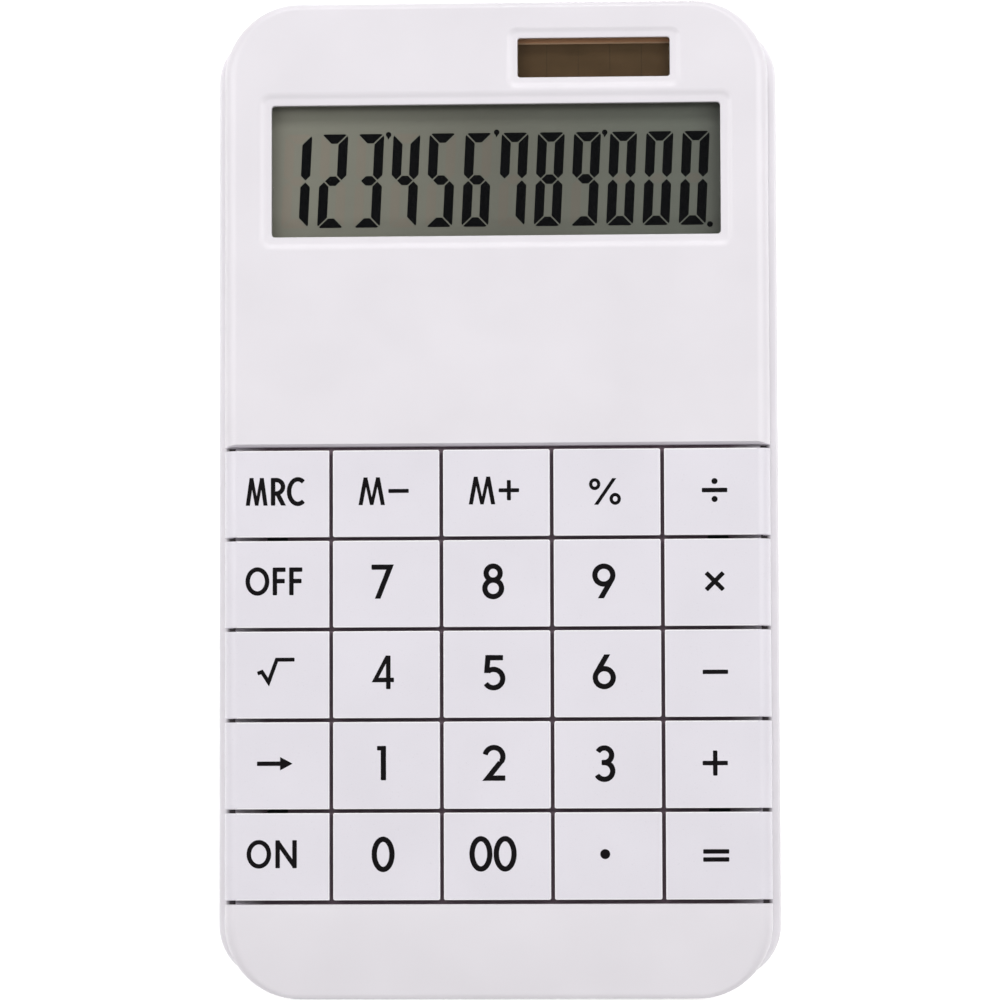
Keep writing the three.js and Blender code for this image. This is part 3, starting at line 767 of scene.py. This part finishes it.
def side_key(inner, y0, y1, side):
    """A key at the side of the face, whose skirt carries on the rounded rim."""
    width, drop = KEY_EDGE
    rounding = quarter_round(4)
    rings = []
    for end, y, shares in ((-1, y0, rounding[::-1]), (1, y1, rounding)):
        for inwards, rise in shares:
            at = y - end * width * rise
            section = side_section(drop * inwards, inner, side)
            rings.append([Vector((x, at, z)) for x, z in section])
    return loft(rings)


def mark_painted_highlight_edges(bm):
    """Gives the narrow sloping faces round the top of a key a lighter look: a painted highlight."""
    bm.normal_update()
    for face in bm.faces:
        x, _, z = face.calc_center_median()
        sloping = 0.3 < face.normal.z < 0.999 and z > -2 * KEY_EDGE[1]
        face.material_index = int(sloping and abs(x) < HALF_WIDTH - SIDE_FILLET)


def make_keys():
    for node, (low, high) in KEY_BOXES.items():
        side = (high.x > 1.5 * COLUMN_PITCH) - (low.x < -1.5 * COLUMN_PITCH)
        x0, x1 = low.x - KEY_SPREAD, high.x + KEY_SPREAD
        y0, y1 = low.y - KEY_SPREAD, high.y + KEY_SPREAD
        if side:
            body = side_key(x0 if side > 0 else -x1, y0, y1, side)
        else:
            body = plain_key(x0, x1, y0, y1)
        half = 2.5
        x, y = stem_place(node)
        stem = block(x - half, x + half, y - half, y + half, low.z, -KEY_PLATE / 2)
        body = boolean(body, stem, "UNION")
        # the rounded top edges take the painted highlight
        mark_painted_highlight_edges(body)
        piece(f"{node}_cap", body, "key", node, [node], weighted=True,
              second_look="key_edge_painted_highlight")


# ---- printed legends ----

DIGIT_PEN = 0.96
LETTER_PEN = 0.81
SIGN_PEN = 0.8
CAP = 2.52               # half the height of the capital letters
LEGEND_RAISE = 0.15      # the legends sit this far over the middle of their keys


def stroke(points, width, closed=False, soft=0.1):
    """A line of a given width as quads with mitred joins and slightly softened ends."""
    path = [Vector(p) for p in points]
    if not closed:
        path[0] = path[0] + (path[1] - path[0]).normalized() * soft
        path[-1] = path[-1] + (path[-2] - path[-1]).normalized() * soft
    count = len(path)
    sides = []
    for i, point in enumerate(path):
        before = path[i - 1] if i > 0 or closed else None
        after = path[(i + 1) % count] if i < count - 1 or closed else None
        into = (point - before).normalized() if before else (after - point).normalized()
        out = (after - point).normalized() if after else into
        across = (into + out).normalized()
        across = Vector((-across.y, across.x))
        reach = width / 2 / max(0.35, across.dot(Vector((-into.y, into.x))))
        sides.append((point + across * reach, point - across * reach))
    quads = []
    for i in range(count if closed else count - 1):
        a, b = sides[i], sides[(i + 1) % count]
        quads.append([a[0], a[1], b[1], b[0]])
    if not closed:
        for side, point, inner in ((sides[0], path[0], path[1]), (sides[-1], path[-1], path[-2])):
            out = (point - inner).normalized() * soft
            pull = (side[1] - side[0]).normalized() * soft
            quads.append([side[0], side[1], side[1] + out - pull, side[0] + out + pull])
    return quads


def ellipse(x, y, width, height, pen):
    """An elliptical loop given by its outer size."""
    rx = (width - pen) / 2
    ry = (height - pen) / 2
    angles = [2 * math.pi * i / 40 for i in range(40)]
    return stroke([(x + rx * math.cos(a), y + ry * math.sin(a)) for a in angles], pen, True)


def bar(x0, x1, y, pen):
    return stroke([(x0, y), (x1, y)], pen)


def post(x, y0, y1, pen):
    return stroke([(x, y0), (x, y1)], pen)


def dot(x, y, radius):
    return [arc(x, y, radius, 0, 345, 23)]


def slash(x0, y0, x1, y1, pen):
    """A slanting stroke whose two ends are cut level."""
    reach = pen / 2 * math.hypot(x1 - x0, y1 - y0) / abs(y1 - y0)
    return [[(x0 - reach, y0), (x0 + reach, y0), (x1 + reach, y1), (x1 - reach, y1)]]


def shifted(polygons, x, y):
    return [[(px + x, py + y) for px, py in polygon] for polygon in polygons]


def turned_over(polygons):
    return [[(-x, -y) for x, y in polygon] for polygon in polygons]


def digit_zero():
    return ellipse(0, 0, 4.16, 6.4, DIGIT_PEN)


def digit_one():
    return post(0.35, -3.1, 3.1, DIGIT_PEN) + bar(-0.8, 0.4, 2.68, SIGN_PEN)


def digit_two():
    pen = DIGIT_PEN
    base = -3.24
    curve = arc(0.05, 1.13, 1.62, 168, -36, 22)
    return (stroke(curve, pen) + slash(1.37, 0.3, -1.46, base, pen)
            + bar(-1.2, 2.1, base + pen / 2, pen))


def digit_three():
    middle = -0.03
    top, bottom = 2.6, -3.05
    above, below = (top - middle) / 2, (middle - bottom) / 2
    upper = arc(-0.05, middle + above, above, 152, -90, 20)
    lower = arc(-0.05, middle - below, below, 90, -152, 20)
    return (stroke(upper + [(-0.55, middle)], DIGIT_PEN)
            + stroke([(-0.55, middle)] + lower, DIGIT_PEN))


def digit_four():
    pen = 0.82
    foot, top = -3.04, 3.03
    crossing = foot + 1.66
    return (post(0.98, foot, top, pen) + bar(-1.5, 2.01, crossing, pen)
            + slash(-1.62, crossing - pen / 2, 0.93, top, 0.72))


def digit_five():
    pen = DIGIT_PEN
    top = 3.03
    bowl = arc(0.02, -1.22, 1.66, 128, -148, 26)
    return (bar(-1.4, 1.75, top - pen / 2, pen) + slash(-0.96, top, -1.22, -0.22, pen)
            + stroke(bowl, pen))


def digit_nine():
    centre = (0.0, 0.96)
    radius = 1.62
    lean = math.radians(-30)
    start = (radius * math.cos(lean), centre[1] + radius * math.sin(lean))
    length = 3.9
    end = (start[0] + length * math.sin(lean), start[1] - length * math.cos(lean))
    size = 2 * radius + DIGIT_PEN
    return ellipse(*centre, size, size, DIGIT_PEN) + slash(*start, *end, DIGIT_PEN)


def digit_six():
    return shifted(turned_over(digit_nine()), 0, -0.18)


def digit_seven():
    pen = 0.94
    top = 3.1
    return bar(-2.04, 1.3, top - pen / 2, pen) + slash(1.52, top, -0.93, -3.08, pen)


def digit_eight():
    return ellipse(0, 1.43, 3.5, 3.5, DIGIT_PEN) + ellipse(0, -1.32, 3.98, 3.96, DIGIT_PEN)


DIGITS = (digit_zero, digit_one, digit_two, digit_three, digit_four, digit_five, digit_six,
          digit_seven, digit_eight, digit_nine)


def letter_m(x0, x1):
    middle = (x0 + x1) / 2
    half = LETTER_PEN / 2 + 0.02
    shoulder = (x1 - x0) * 0.275
    outer, inner = LETTER_PEN * 0.92, LETTER_PEN * 0.74
    return (slash(x0 + half, -CAP, x0 + shoulder, CAP, outer)
            + slash(x0 + shoulder, CAP, middle, -CAP, inner)
            + slash(middle, -CAP, x1 - shoulder, CAP, inner)
            + slash(x1 - shoulder, CAP, x1 - half, -CAP, outer))


def letter_r(x0, x1):
    pen = LETTER_PEN
    left = x0 + pen / 2
    top = CAP - pen / 2
    bowl = 1.22
    centre = x1 - 0.1 - pen / 2 - bowl
    loop = [(left, top)] + arc(centre, top - bowl, bowl, 90, -90, 14) + [(left, top - 2 * bowl)]
    leg = slash(centre + 0.1, top - 2 * bowl + 0.2, x1 - pen / 2, -CAP, pen)
    return post(left, -CAP, CAP, pen) + stroke(loop, pen) + leg


def letter_c(x0, x1):
    pen = LETTER_PEN
    wide, tall = 2.0 - pen / 2, CAP + 0.12 - pen / 2
    centre = x0 + 2.0
    reach = math.degrees(math.acos((x1 - centre - 0.05) / wide))
    curve = [(centre + wide * x, tall * y) for x, y in arc(0, 0, 1, reach, 360 - reach, 26)]
    return stroke(curve, pen)


def letter_o(x0, x1):
    return ellipse((x0 + x1) / 2, 0, x1 - x0, 2 * CAP + 0.12, LETTER_PEN)


def letter_n(x0, x1):
    pen = LETTER_PEN
    left = x0 + pen / 2
    right = x1 - pen / 2
    slant = stroke([(left, CAP - 0.35), (right, -CAP + 0.35)], pen)
    return post(left, -CAP, CAP, pen) + post(right, -CAP, CAP, pen) + slant


def letter_f(x0, x1):
    pen = LETTER_PEN
    return (post(x0 + pen / 2, -CAP, CAP, pen) + bar(x0, x1, CAP - pen / 2, pen)
            + bar(x0, x1 - 0.15, 0.05, pen))


def legend_percent():
    wide, tall, pen = 2.05, 2.15, 0.6
    return (ellipse(-2.2, 1.28, wide, tall, pen) + ellipse(1.5, -1.4, wide, tall, pen)
            + slash(-1.95, -2.45, 1.35, 2.35, 0.62))


def legend_divide():
    return bar(-2.86, 1.74, 0.08, SIGN_PEN) + dot(-0.56, 1.7, 0.55) + dot(-0.56, -1.54, 0.55)


def legend_multiply():
    reach = 1.55
    x = -0.62
    return (stroke([(x - reach, -reach), (x + reach, reach)], SIGN_PEN)
            + stroke([(x - reach, reach), (x + reach, -reach)], SIGN_PEN))


def legend_root():
    path = [(-3.35, 0.1), (-2.55, 0.42), (-1.35, -1.45), (0.15, 2.62), (3.38, 2.62)]
    return stroke(path, 0.7)


def legend_back():
    y = 0.23
    head = [(0.75, y + 1.22), (3.02, y), (0.75, y - 1.22)]
    return bar(-3.44, 1.1, y, SIGN_PEN) + [head]


def legend_plus():
    return bar(-3.0, 1.55, 0.06, SIGN_PEN) + post(-0.72, -2.2, 2.32, SIGN_PEN)


def legend_equals():
    return bar(-2.99, 1.7, 0.6, SIGN_PEN) + bar(-2.99, 1.7, -0.84, SIGN_PEN)


def memory_legend(with_upright):
    """The memory letter with a minus, which an upright turns into a plus."""
    pen = 0.72
    drawn = shifted(letter_m(-5.05, -0.15), 0, 0.26) + bar(0.42, 4.13, 0.28, pen)
    return drawn + post(2.27, -1.55, 2.12, pen) if with_upright else drawn


def legends():
    """The outline of every key's legend, measured from the middle of the key's square."""
    found = {str(n): shifted(draw(), -0.62, 0.25) for n, draw in enumerate(DIGITS)}
    found["1"] = shifted(digit_one(), -0.9, 0.28)
    found["00"] = shifted(digit_zero(), -2.97, 0.28) + shifted(digit_zero(), 1.4, 0.28)
    found["point"] = dot(-0.59, 0.18, 0.9)
    found["mrc"] = shifted(letter_m(-5.55, -1.47) + letter_r(-0.93, 1.78)
                           + letter_c(1.98, 5.04), 0, 0.28)
    found["off"] = shifted(letter_o(-5.54, -1.2) + letter_f(-0.6, 1.75)
                           + letter_f(2.4, 4.8), 0, 0.4)
    found["on"] = shifted(letter_o(-5.32, -0.87) + letter_n(-0.1, 3.77), 0, 0.32)
    found["m_minus"] = memory_legend(False)
    found["m_plus"] = memory_legend(True)
    found["percent"] = legend_percent()
    found["divide"] = legend_divide()
    found["multiply"] = legend_multiply()
    found["minus"] = bar(-2.9, 1.68, 0.06, 0.78)
    found["root"] = legend_root()
    found["back"] = legend_back()
    found["plus"] = legend_plus()
    found["equals"] = legend_equals()
    return found


def make_legends():
    for key, polygons in legends().items():
        x, y = stem_place(f"key_{key}")
        ink = plate(shifted(polygons, x, y + LEGEND_RAISE), -0.01, INK)
        piece(f"key_{key}_legend", ink, "ink", f"key_{key}", smooth=20.0)


# ---- display ----

SEGMENT = 1.72
DIGIT_WIDE = 4.9
DIGIT_TALL = 17.2
DIGIT_PITCH = 6.6
LAST_DIGIT = (36.05, 58.3)
DIGIT_LEAN = math.tan(math.radians(2.8))
SHOWN = "123456789000"
LIT = {"0": "abcdef", "1": "bc", "2": "abdeg", "3": "abcdg", "4": "bcfg", "5": "acdfg",
       "6": "acdefg", "7": "abcf", "8": "abcdefg", "9": "abcdfg"}


def segment_outlines():
    """The seven segments of a digit, centred, before it leans."""
    x = DIGIT_WIDE / 2
    y = DIGIT_TALL / 2
    inner_x = x - SEGMENT
    inner_y = y - SEGMENT
    half = SEGMENT / 2
    gap = 0.18
    top = [(-x + 0.32, y - 0.14), (-x + 0.62, y), (x - 0.62, y), (x - 0.32, y - 0.14),
           (inner_x - gap, inner_y), (-inner_x + gap, inner_y)]
    upper_right = [(x, y - 0.62), (x - 0.14, y - 0.32), (inner_x, inner_y - gap),
                   (inner_x, half + gap), (x - half, gap), (x, half + gap)]
    middle = [(-x + half + gap, 0), (-inner_x + gap, half), (inner_x - gap, half),
              (x - half - gap, 0), (inner_x - gap, -half), (-inner_x + gap, -half)]
    return {"a": top, "b": upper_right, "g": middle,
            "c": [(px, -py) for px, py in upper_right],
            "d": [(px, -py) for px, py in top],
            "e": [(-px, -py) for px, py in upper_right],
            "f": [(-px, py) for px, py in upper_right]}


def leaning(outline, x, y):
    return [(x + px + py * DIGIT_LEAN, y + py) for px, py in outline]


def display_marks():
    """Everything lit on the display, and the segments at rest."""
    lit, rest = [], []
    outlines = segment_outlines()
    last_x, y = LAST_DIGIT
    for k, digit in enumerate(reversed(SHOWN)):
        for letter, outline in outlines.items():
            target = lit if letter in LIT[digit] else rest
            target.append(leaning(outline, last_x - k * DIGIT_PITCH, y))
    for x, y in ((-19.7, 66.75), (0.07, 67.0), (19.8, 66.8)):
        lit += dot(x, y, 0.5)
        lit.append([(x + 0.48, y - 0.1), (x - 0.1, y - 0.95), (x - 0.25, y - 0.3)])
    lit += dot(38.87, 49.8, 0.52)
    return lit, rest


def display():
    lit, rest = display_marks()
    level = face_box("lcd_front_polarizer")[1].z
    piece("display_segments", plate(lit, level - 0.01, level + 0.03), "segment")
    piece("display_segments_at_rest", plate(rest, level - 0.01, level + 0.01), "ghost")


def pane(node, opening, look):
    """A window: a flange under the face with a raised plateau in the opening."""
    low, high = face_box(node)
    x0, x1, y0, y1, corner, _ = opening
    shrink = 0.06
    edge = 0.12
    plateau = soft_block(x0 + shrink, x1 - shrink, y0 + shrink, y1 - shrink, high.z - 0.4,
                         -COVE_FLOOR - 0.12, corner, edge)
    flange = block(low.x, high.x, low.y, high.y, low.z, high.z)
    piece(f"{node}_pane", boolean(flange, plateau, "UNION"), look, replaces=[node])


def solar_cell():
    """Dark strips of cell side by side under a busbar, on a glass substrate."""
    low, high = face_box("solar_cell")
    glass = soft_block(low.x, high.x, low.y, high.y, low.z, high.z - 0.02, 0.3, 0.05)
    piece("solar_cell_plate", glass, "solar", replaces=["solar_cell"])
    x0, x1 = low.x + 0.4, high.x - 0.4
    busbar_low = high.y - 1.35
    busbar = block(x0, x1, busbar_low, high.y - 0.3, high.z - 0.025, high.z)
    piece("solar_cell_busbar", busbar, "busbar")
    y0, y1 = low.y + 0.5, busbar_low - 0.28
    cells = block(x0, x1, y0, y1, high.z - 0.025, high.z - 0.005)
    piece("solar_cell_strips", cells, "strip")
    count = 5
    lines = []
    for i in range(1, count):
        lines += post(x0 + (x1 - x0) * i / count, y0, y1, 0.16)
    piece("solar_cell_lines", plate(lines, high.z - 0.01, high.z), "strip_line")


# ---- inner parts kept from the CAD frame ----

CAD_LOOKS = {
    "lcd_frame": "frame", "lcd_front_polarizer": "display_ground_painted_light", "lcd_front_glass": "glass",
    "lcd_rear_glass": "glass", "lcd_reflector": "reflector",
    "lcd_connector_strip": "rubber", "solar_pad": "rubber", "circuit_board": "board",
    "chip_cover": "epoxy", "electrolytic_capacitor": "sleeve", "ceramic_capacitor": "ceramic",
    "battery_contact_minus": "contact_steel", "battery_contact_plus": "contact_steel",
    "solar_wire_red": "red", "solar_wire_black": "black", "battery_wire_red": "red",
    "battery_wire_black": "black",
}


def dress_cad_nodes():
    for node, look in CAD_LOOKS.items():
        mesh = NODES[node].data
        mesh.materials.clear()
        mesh.materials.append(LOOKS[look])


# ---- back tray ----

FLOOR_PLATE = 1.6
DOOR_HALF = 16.0         # half the width of the battery door
DOOR_FRONT, DOOR_BACK = 36.0, 66.0
DOOR_CLEARANCE = 0.3
HOOK_X = 8.0
CONTACT_X = 9.0
POCKET_CEILING = 6.5
SCREW_HEAD = 2.2         # radii of a case screw's head, its well, its pillar and its hole
SCREW_WELL = 2.7
SCREW_PILLAR = 4.2
SCREW_HOLE = 1.25
CASE_SCREW_HEAD = 1.4    # heights of the screws' heads
BOARD_SCREW_HEAD = 1.1


def tray_outline(inset):
    low, high = desk_box("back_tray")
    return rounded_outline(low.x + inset, high.x - inset, low.y + inset, high.y - inset,
                           TRAY_CORNER - inset, 14)


def rim_height(y, level=TRAY_RIM):
    """Height over the desk of a plane parallel to the face."""
    return FACE_ORIGIN.z + level / math.cos(TILT) + (y - FACE_ORIGIN.y) * math.tan(TILT)


def in_desk(bm):
    """Moves a solid drawn in the face frame into the desk frame."""
    bmesh.ops.transform(bm, matrix=FACE_TO_DESK, verts=bm.verts)
    return bm


def tray_bowl(base):
    """The tray as a wall of even thickness, rounded at its foot and along its rim."""
    bevel, bevel_height = TRAY_BEVEL
    edge = 0.5
    floor = base + FLOOR_PLATE
    foot_round = quarter_round(8)
    rings = [ring(tray_outline(bevel * rise), base + bevel_height * inwards)
             for inwards, rise in foot_round]
    for inwards, rise in quarter_round(4):
        rings.append([Vector((x, y, rim_height(y) - edge * rise))
                      for x, y in tray_outline(edge * inwards)])
    rings.append([Vector((x, y, rim_height(y))) for x, y in tray_outline(TRAY_WALL)])
    rings += [ring(tray_outline(TRAY_WALL + bevel * rise), floor + bevel_height * inwards)
              for inwards, rise in reversed(foot_round)]
    return loft(rings)


def screw_places():
    lows = [face_box(f"case_screw_{i}")[0] for i in range(1, 5)]
    return [(low.x + SCREW_HEAD, low.y + SCREW_HEAD) for low in lows]


def tray_additions(base):
    """Ribs under the board, pillars for the screws and the walls of the cell's pocket."""
    parts = []
    board_under = face_box("circuit_board")[0].z
    rib_x, rib_half = 44, 0.6
    for y in (-58, -30, -4):
        outline = [(-rib_x, y - rib_half), (rib_x, y - rib_half), (rib_x, y + rib_half),
                   (-rib_x, y + rib_half)]
        top = [Vector((px, py, rim_height(py, board_under - 0.3))) for px, py in outline]
        parts.append(loft([ring(outline, base + 1.2), top]))
    for x, y in screw_places():
        foot = -11.5 if y > 0 else -8.9
        parts.append(in_desk(drum(SCREW_PILLAR, foot, TRAY_RIM, x, y, 32)))
    wall = 1.5
    parts.append(block(-DOOR_HALF - wall, DOOR_HALF + wall, DOOR_FRONT - wall, DOOR_BACK + wall,
                       base + 0.3, POCKET_CEILING + 1.2))
    return parts


def tray_cuts(base):
    """Wells for screws and feet, and the pocket and seat for the cell and its door."""
    seat = base + FLOOR_PLATE
    clear = DOOR_CLEARANCE
    below = -30
    head_top = face_box("case_screw_1")[0].z + CASE_SCREW_HEAD
    cuts = [foot_recesses()]
    for x, y in screw_places():
        cuts.append(in_desk(drum(SCREW_WELL, below, head_top + 0.2, x, y, 32)))
        cuts.append(in_desk(drum(SCREW_HOLE, below, 1, x, y, 20)))
    cuts.append(block(-14, 14, DOOR_FRONT + 2, DOOR_BACK - 1.6, 0, POCKET_CEILING))
    cuts.append(soft_block(-DOOR_HALF - clear, DOOR_HALF + clear, DOOR_FRONT - clear,
                           DOOR_BACK + clear, -1, seat, 1.3, 0.05))
    cuts.append(soft_block(-5, 5, DOOR_FRONT - 2.5, DOOR_FRONT + 1, -1, base + 1, 0.8, 0.05))
    for x in (-HOOK_X, HOOK_X):
        cuts.append(block(x - 2.4, x + 2.4, DOOR_BACK - 2.6, DOOR_BACK + 1.6,
                          seat - 0.4, seat + 2.2))
    for x in (-CONTACT_X, CONTACT_X):
        cuts.append(block(x - 1.4, x + 1.4, DOOR_FRONT - 4, DOOR_FRONT + 3, 5.25, 6.45))
    return cuts


def back_tray():
    base = desk_box("back_tray")[0].z
    bm = tray_bowl(base)
    for part in tray_additions(base):
        bm = boolean(bm, part, "UNION")
    for cut in tray_cuts(base):
        bm = boolean(bm, cut)
    piece("back_tray_shell", bm, "tray", replaces=["back_tray"],
          place=DESK, smooth=38.0, weighted=True)


def foot_recesses():
    cutters = []
    for i in range(1, 5):
        low, high = desk_box(f"foot_{i}")
        radius = (high.x - low.x) / 2 + 0.3
        cutters.append(drum(radius, -1, high.z + 0.1, *centre_of((low, high)), 48))
    return merged(*cutters)


def battery_door():
    """The cover of the coin cell: a flat panel with a latch, two hooks and thumb grooves."""
    base, top = 1.0, 2.3
    panel = soft_block(-DOOR_HALF, DOOR_HALF, DOOR_FRONT, DOOR_BACK, base, top, 1.0, 0.15)
    latch = soft_block(-4.4, 4.4, DOOR_FRONT - 1.8, DOOR_FRONT + 0.6, base, base + 0.7, 0.6, 0.12)
    bm = boolean(panel, latch, "UNION")
    for x in (-HOOK_X, HOOK_X):
        arm = block(x - 1.8, x + 1.8, DOOR_BACK - 3, DOOR_BACK - 1.9, top - 0.2, top + 1.2)
        toe = block(x - 1.8, x + 1.8, DOOR_BACK - 2.9, DOOR_BACK + 0.9, top + 0.3, top + 1.19)
        bm = boolean(bm, boolean(arm, toe, "UNION"), "UNION")
    for i in range(5):
        y = DOOR_FRONT + 2.6 + 1.3 * i
        groove = soft_block(-6, 6, y, y + 0.7, base - 1, base + 0.4, 0.3, 0.05)
        bm = boolean(bm, groove)
    piece("battery_door_panel", bm, "tray", "battery_door", ["battery_door"],
          place=DESK, weighted=True)


def foot(i):
    low, high = desk_box(f"foot_{i}")
    radius = (high.x - low.x) / 2
    profile = [(0, low.z), (radius - 1.2, low.z), (radius - 0.6, low.z + 0.08),
               (radius - 0.2, low.z + 0.3), (radius, low.z + 0.65), (radius, high.z - 0.1),
               (radius - 0.1, high.z), (0, high.z)]
    bm = placed(lathe(profile, 40), *centre_of((low, high)))
    piece(f"foot_{i}_pad", bm, "foot", replaces=[f"foot_{i}"], place=DESK)


def screw(node, head_height):
    """A pan-head screw, head down, with a cross recess and a ridged shank."""
    low, high = face_box(node)
    head = (high.x - low.x) / 2
    shank, root = 0.95, 0.76
    thread_pitch = 0.5
    top = low.z + head_height
    profile = [(0, low.z), (head * 0.55, low.z + 0.05), (head * 0.85, low.z + 0.25),
               (head, low.z + 0.6), (head, top), (root, top)]
    z = top + 0.3
    while z < high.z - 0.9:
        profile += [(root, z), (shank, z + 0.16), (root, z + 0.32)]
        z += thread_pitch
    profile += [(root, high.z - 0.7), (0.25, high.z), (0, high.z)]
    bm = lathe(profile, 24)
    long, short = 1.35, 0.3
    for dx, dy in ((long, short), (short, long)):
        bm = boolean(bm, block(-dx, dx, -dy, dy, low.z - 1, low.z + 0.75))
    placed(bm, *centre_of((low, high)))
    piece(f"{node}_body", bm, "screw_steel", replaces=[node])


def coin_cell():
    """A lithium button cell: the wide can faces the door, the smaller cap the contact."""
    low, high = desk_box("coin_cell")
    x, y = centre_of((low, high))
    radius = high.x - x
    tall = high.z - low.z
    profile = [(0, 0), (radius - 0.5, 0), (radius - 0.15, 0.12), (radius, 0.45),
               (radius, tall - 0.75), (radius - 0.2, tall - 0.45), (radius - 0.7, tall - 0.4),
               (radius - 0.85, tall - 0.5), (radius - 1.1, tall - 0.5), (radius - 1.2, tall - 0.2),
               (radius - 1.5, tall), (0, tall)]
    bm = placed(lathe(profile, 64), x, y, low.z)
    plus = plate(bar(-1.8, 1.8, 0, 0.5) + post(0, -1.8, 1.8, 0.5), low.z - 1, low.z + 0.06)
    bm = boolean(bm, placed(plus, 0, y + 4))
    piece("coin_cell_can", bm, "cell_steel", replaces=["coin_cell"], place=DESK)


# ---- key mat ----

def key_mat():
    """A silicone sheet with one soft dome under each key's stem."""
    low, high = face_box("dome_mat")
    sheet_top = low.z + 0.6
    sheet = soft_block(low.x, high.x, low.y, high.y, low.z, sheet_top, 2.0, 0.1)
    piece("dome_mat_sheet", sheet, "mat", replaces=["dome_mat"])
    foot_radius, crown = 4.6, 3.3
    tall = high.z - sheet_top
    profile = [(0, 0), (foot_radius, 0), (foot_radius - 0.1, tall * 0.15),
               (crown + 0.45, tall * 0.55), (crown + 0.1, tall * 0.85), (crown - 0.25, tall * 0.98),
               (crown - 0.6, tall), (0, tall)]
    for node in KEY_BOXES:
        x, y = stem_place(node)
        dome = placed(lathe(profile, 32), x, y, sheet_top)
        obj = piece(f"{node}_dome", dome, "mat")
        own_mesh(obj)


# ---- stage ----

def stage():
    """A pale floor of paper, a hair under the feet."""
    bm = bmesh.new()
    bmesh.ops.create_grid(bm, x_segments=1, y_segments=1, size=3.0)
    mesh = mesh_from(placed(bm, 0, 0, -0.05 * MM), "floor")
    material, tree, shader = node_material("floor_paper")
    tones = [(0.3, (0.93, 0.93, 0.93)), (0.7, (0.95, 0.95, 0.95))]
    colour(tree, noise(tree, 30.0, 2.0), tones, shader.inputs["Base Color"])
    shader.inputs["Roughness"].default_value = 0.9
    shader.inputs["Emission Color"].default_value = (1, 1, 1, 1)
    shader.inputs["Emission Strength"].default_value = 0.35
    mesh.materials.append(material)
    floor = add_object("floor", mesh)


def soft_light(name, location, size, power):
    """A softbox that faces the middle of the object."""
    data = bpy.data.lights.new(name, "AREA")
    data.shape = "RECTANGLE"
    data.size, data.size_y = size
    data.energy = power
    light = add_object(name, data)
    light.location = location
    light.rotation_euler = Vector(location).to_track_quat("Z", "Y").to_euler()


def lights():
    soft_light("left_softbox", (-0.75, 0.2, 0.75), (0.25, 1.0), 3.8)
    soft_light("right_softbox", (0.75, 0.2, 0.75), (0.25, 1.0), 4.3)
    soft_light("top_softbox", (0.0, 0.8, 0.9), (1.0, 0.3), 5.3)
    soft_light("front_softbox", (0.0, -0.85, 0.75), (1.0, 0.2), 2.2)
    world = bpy.data.worlds.new("studio")
    world.use_nodes = True
    background = world.node_tree.nodes["Background"]
    background.inputs["Color"].default_value = (1, 1, 1, 1)
    background.inputs["Strength"].default_value = 0.28
    bpy.context.scene.world = world
    bpy.context.scene.view_settings.view_transform = "Standard"


def camera():
    """A long lens almost straight over the face, a little to the right and towards the user."""
    data = bpy.data.cameras.new("camera")
    data.sensor_width = 36.0
    data.lens = 179.13
    data.clip_start = 0.05
    data.clip_end = 20.0
    aim = Matrix.Translation((0.659, -0.531, 0))
    distance = Matrix.Translation((0, 0, 900))
    pitch = Matrix.Rotation(math.radians(3.889), 4, "X")
    yaw = Matrix.Rotation(math.radians(2.815), 4, "Y")
    roll = Matrix.Rotation(math.radians(-0.172), 4, "Z")
    pose = FACE_TO_DESK @ aim @ yaw @ pitch @ roll @ distance
    pose.translation *= MM
    obj = add_object("camera", data)
    obj.matrix_world = pose
    bpy.context.scene.camera = obj


stage()
lights()
camera()
front_cover()
make_keys()
make_legends()
display()
pane("display_window", LCD_OPENING, "pane")
pane("solar_window", SOLAR_OPENING, "cell_pane")
solar_cell()
key_mat()
back_tray()
battery_door()
coin_cell()
for number in range(1, 5):
    foot(number)
    screw(f"case_screw_{number}", CASE_SCREW_HEAD)
for number in range(1, 3):
    screw(f"board_screw_{number}", BOARD_SCREW_HEAD)
dress_cad_nodes()
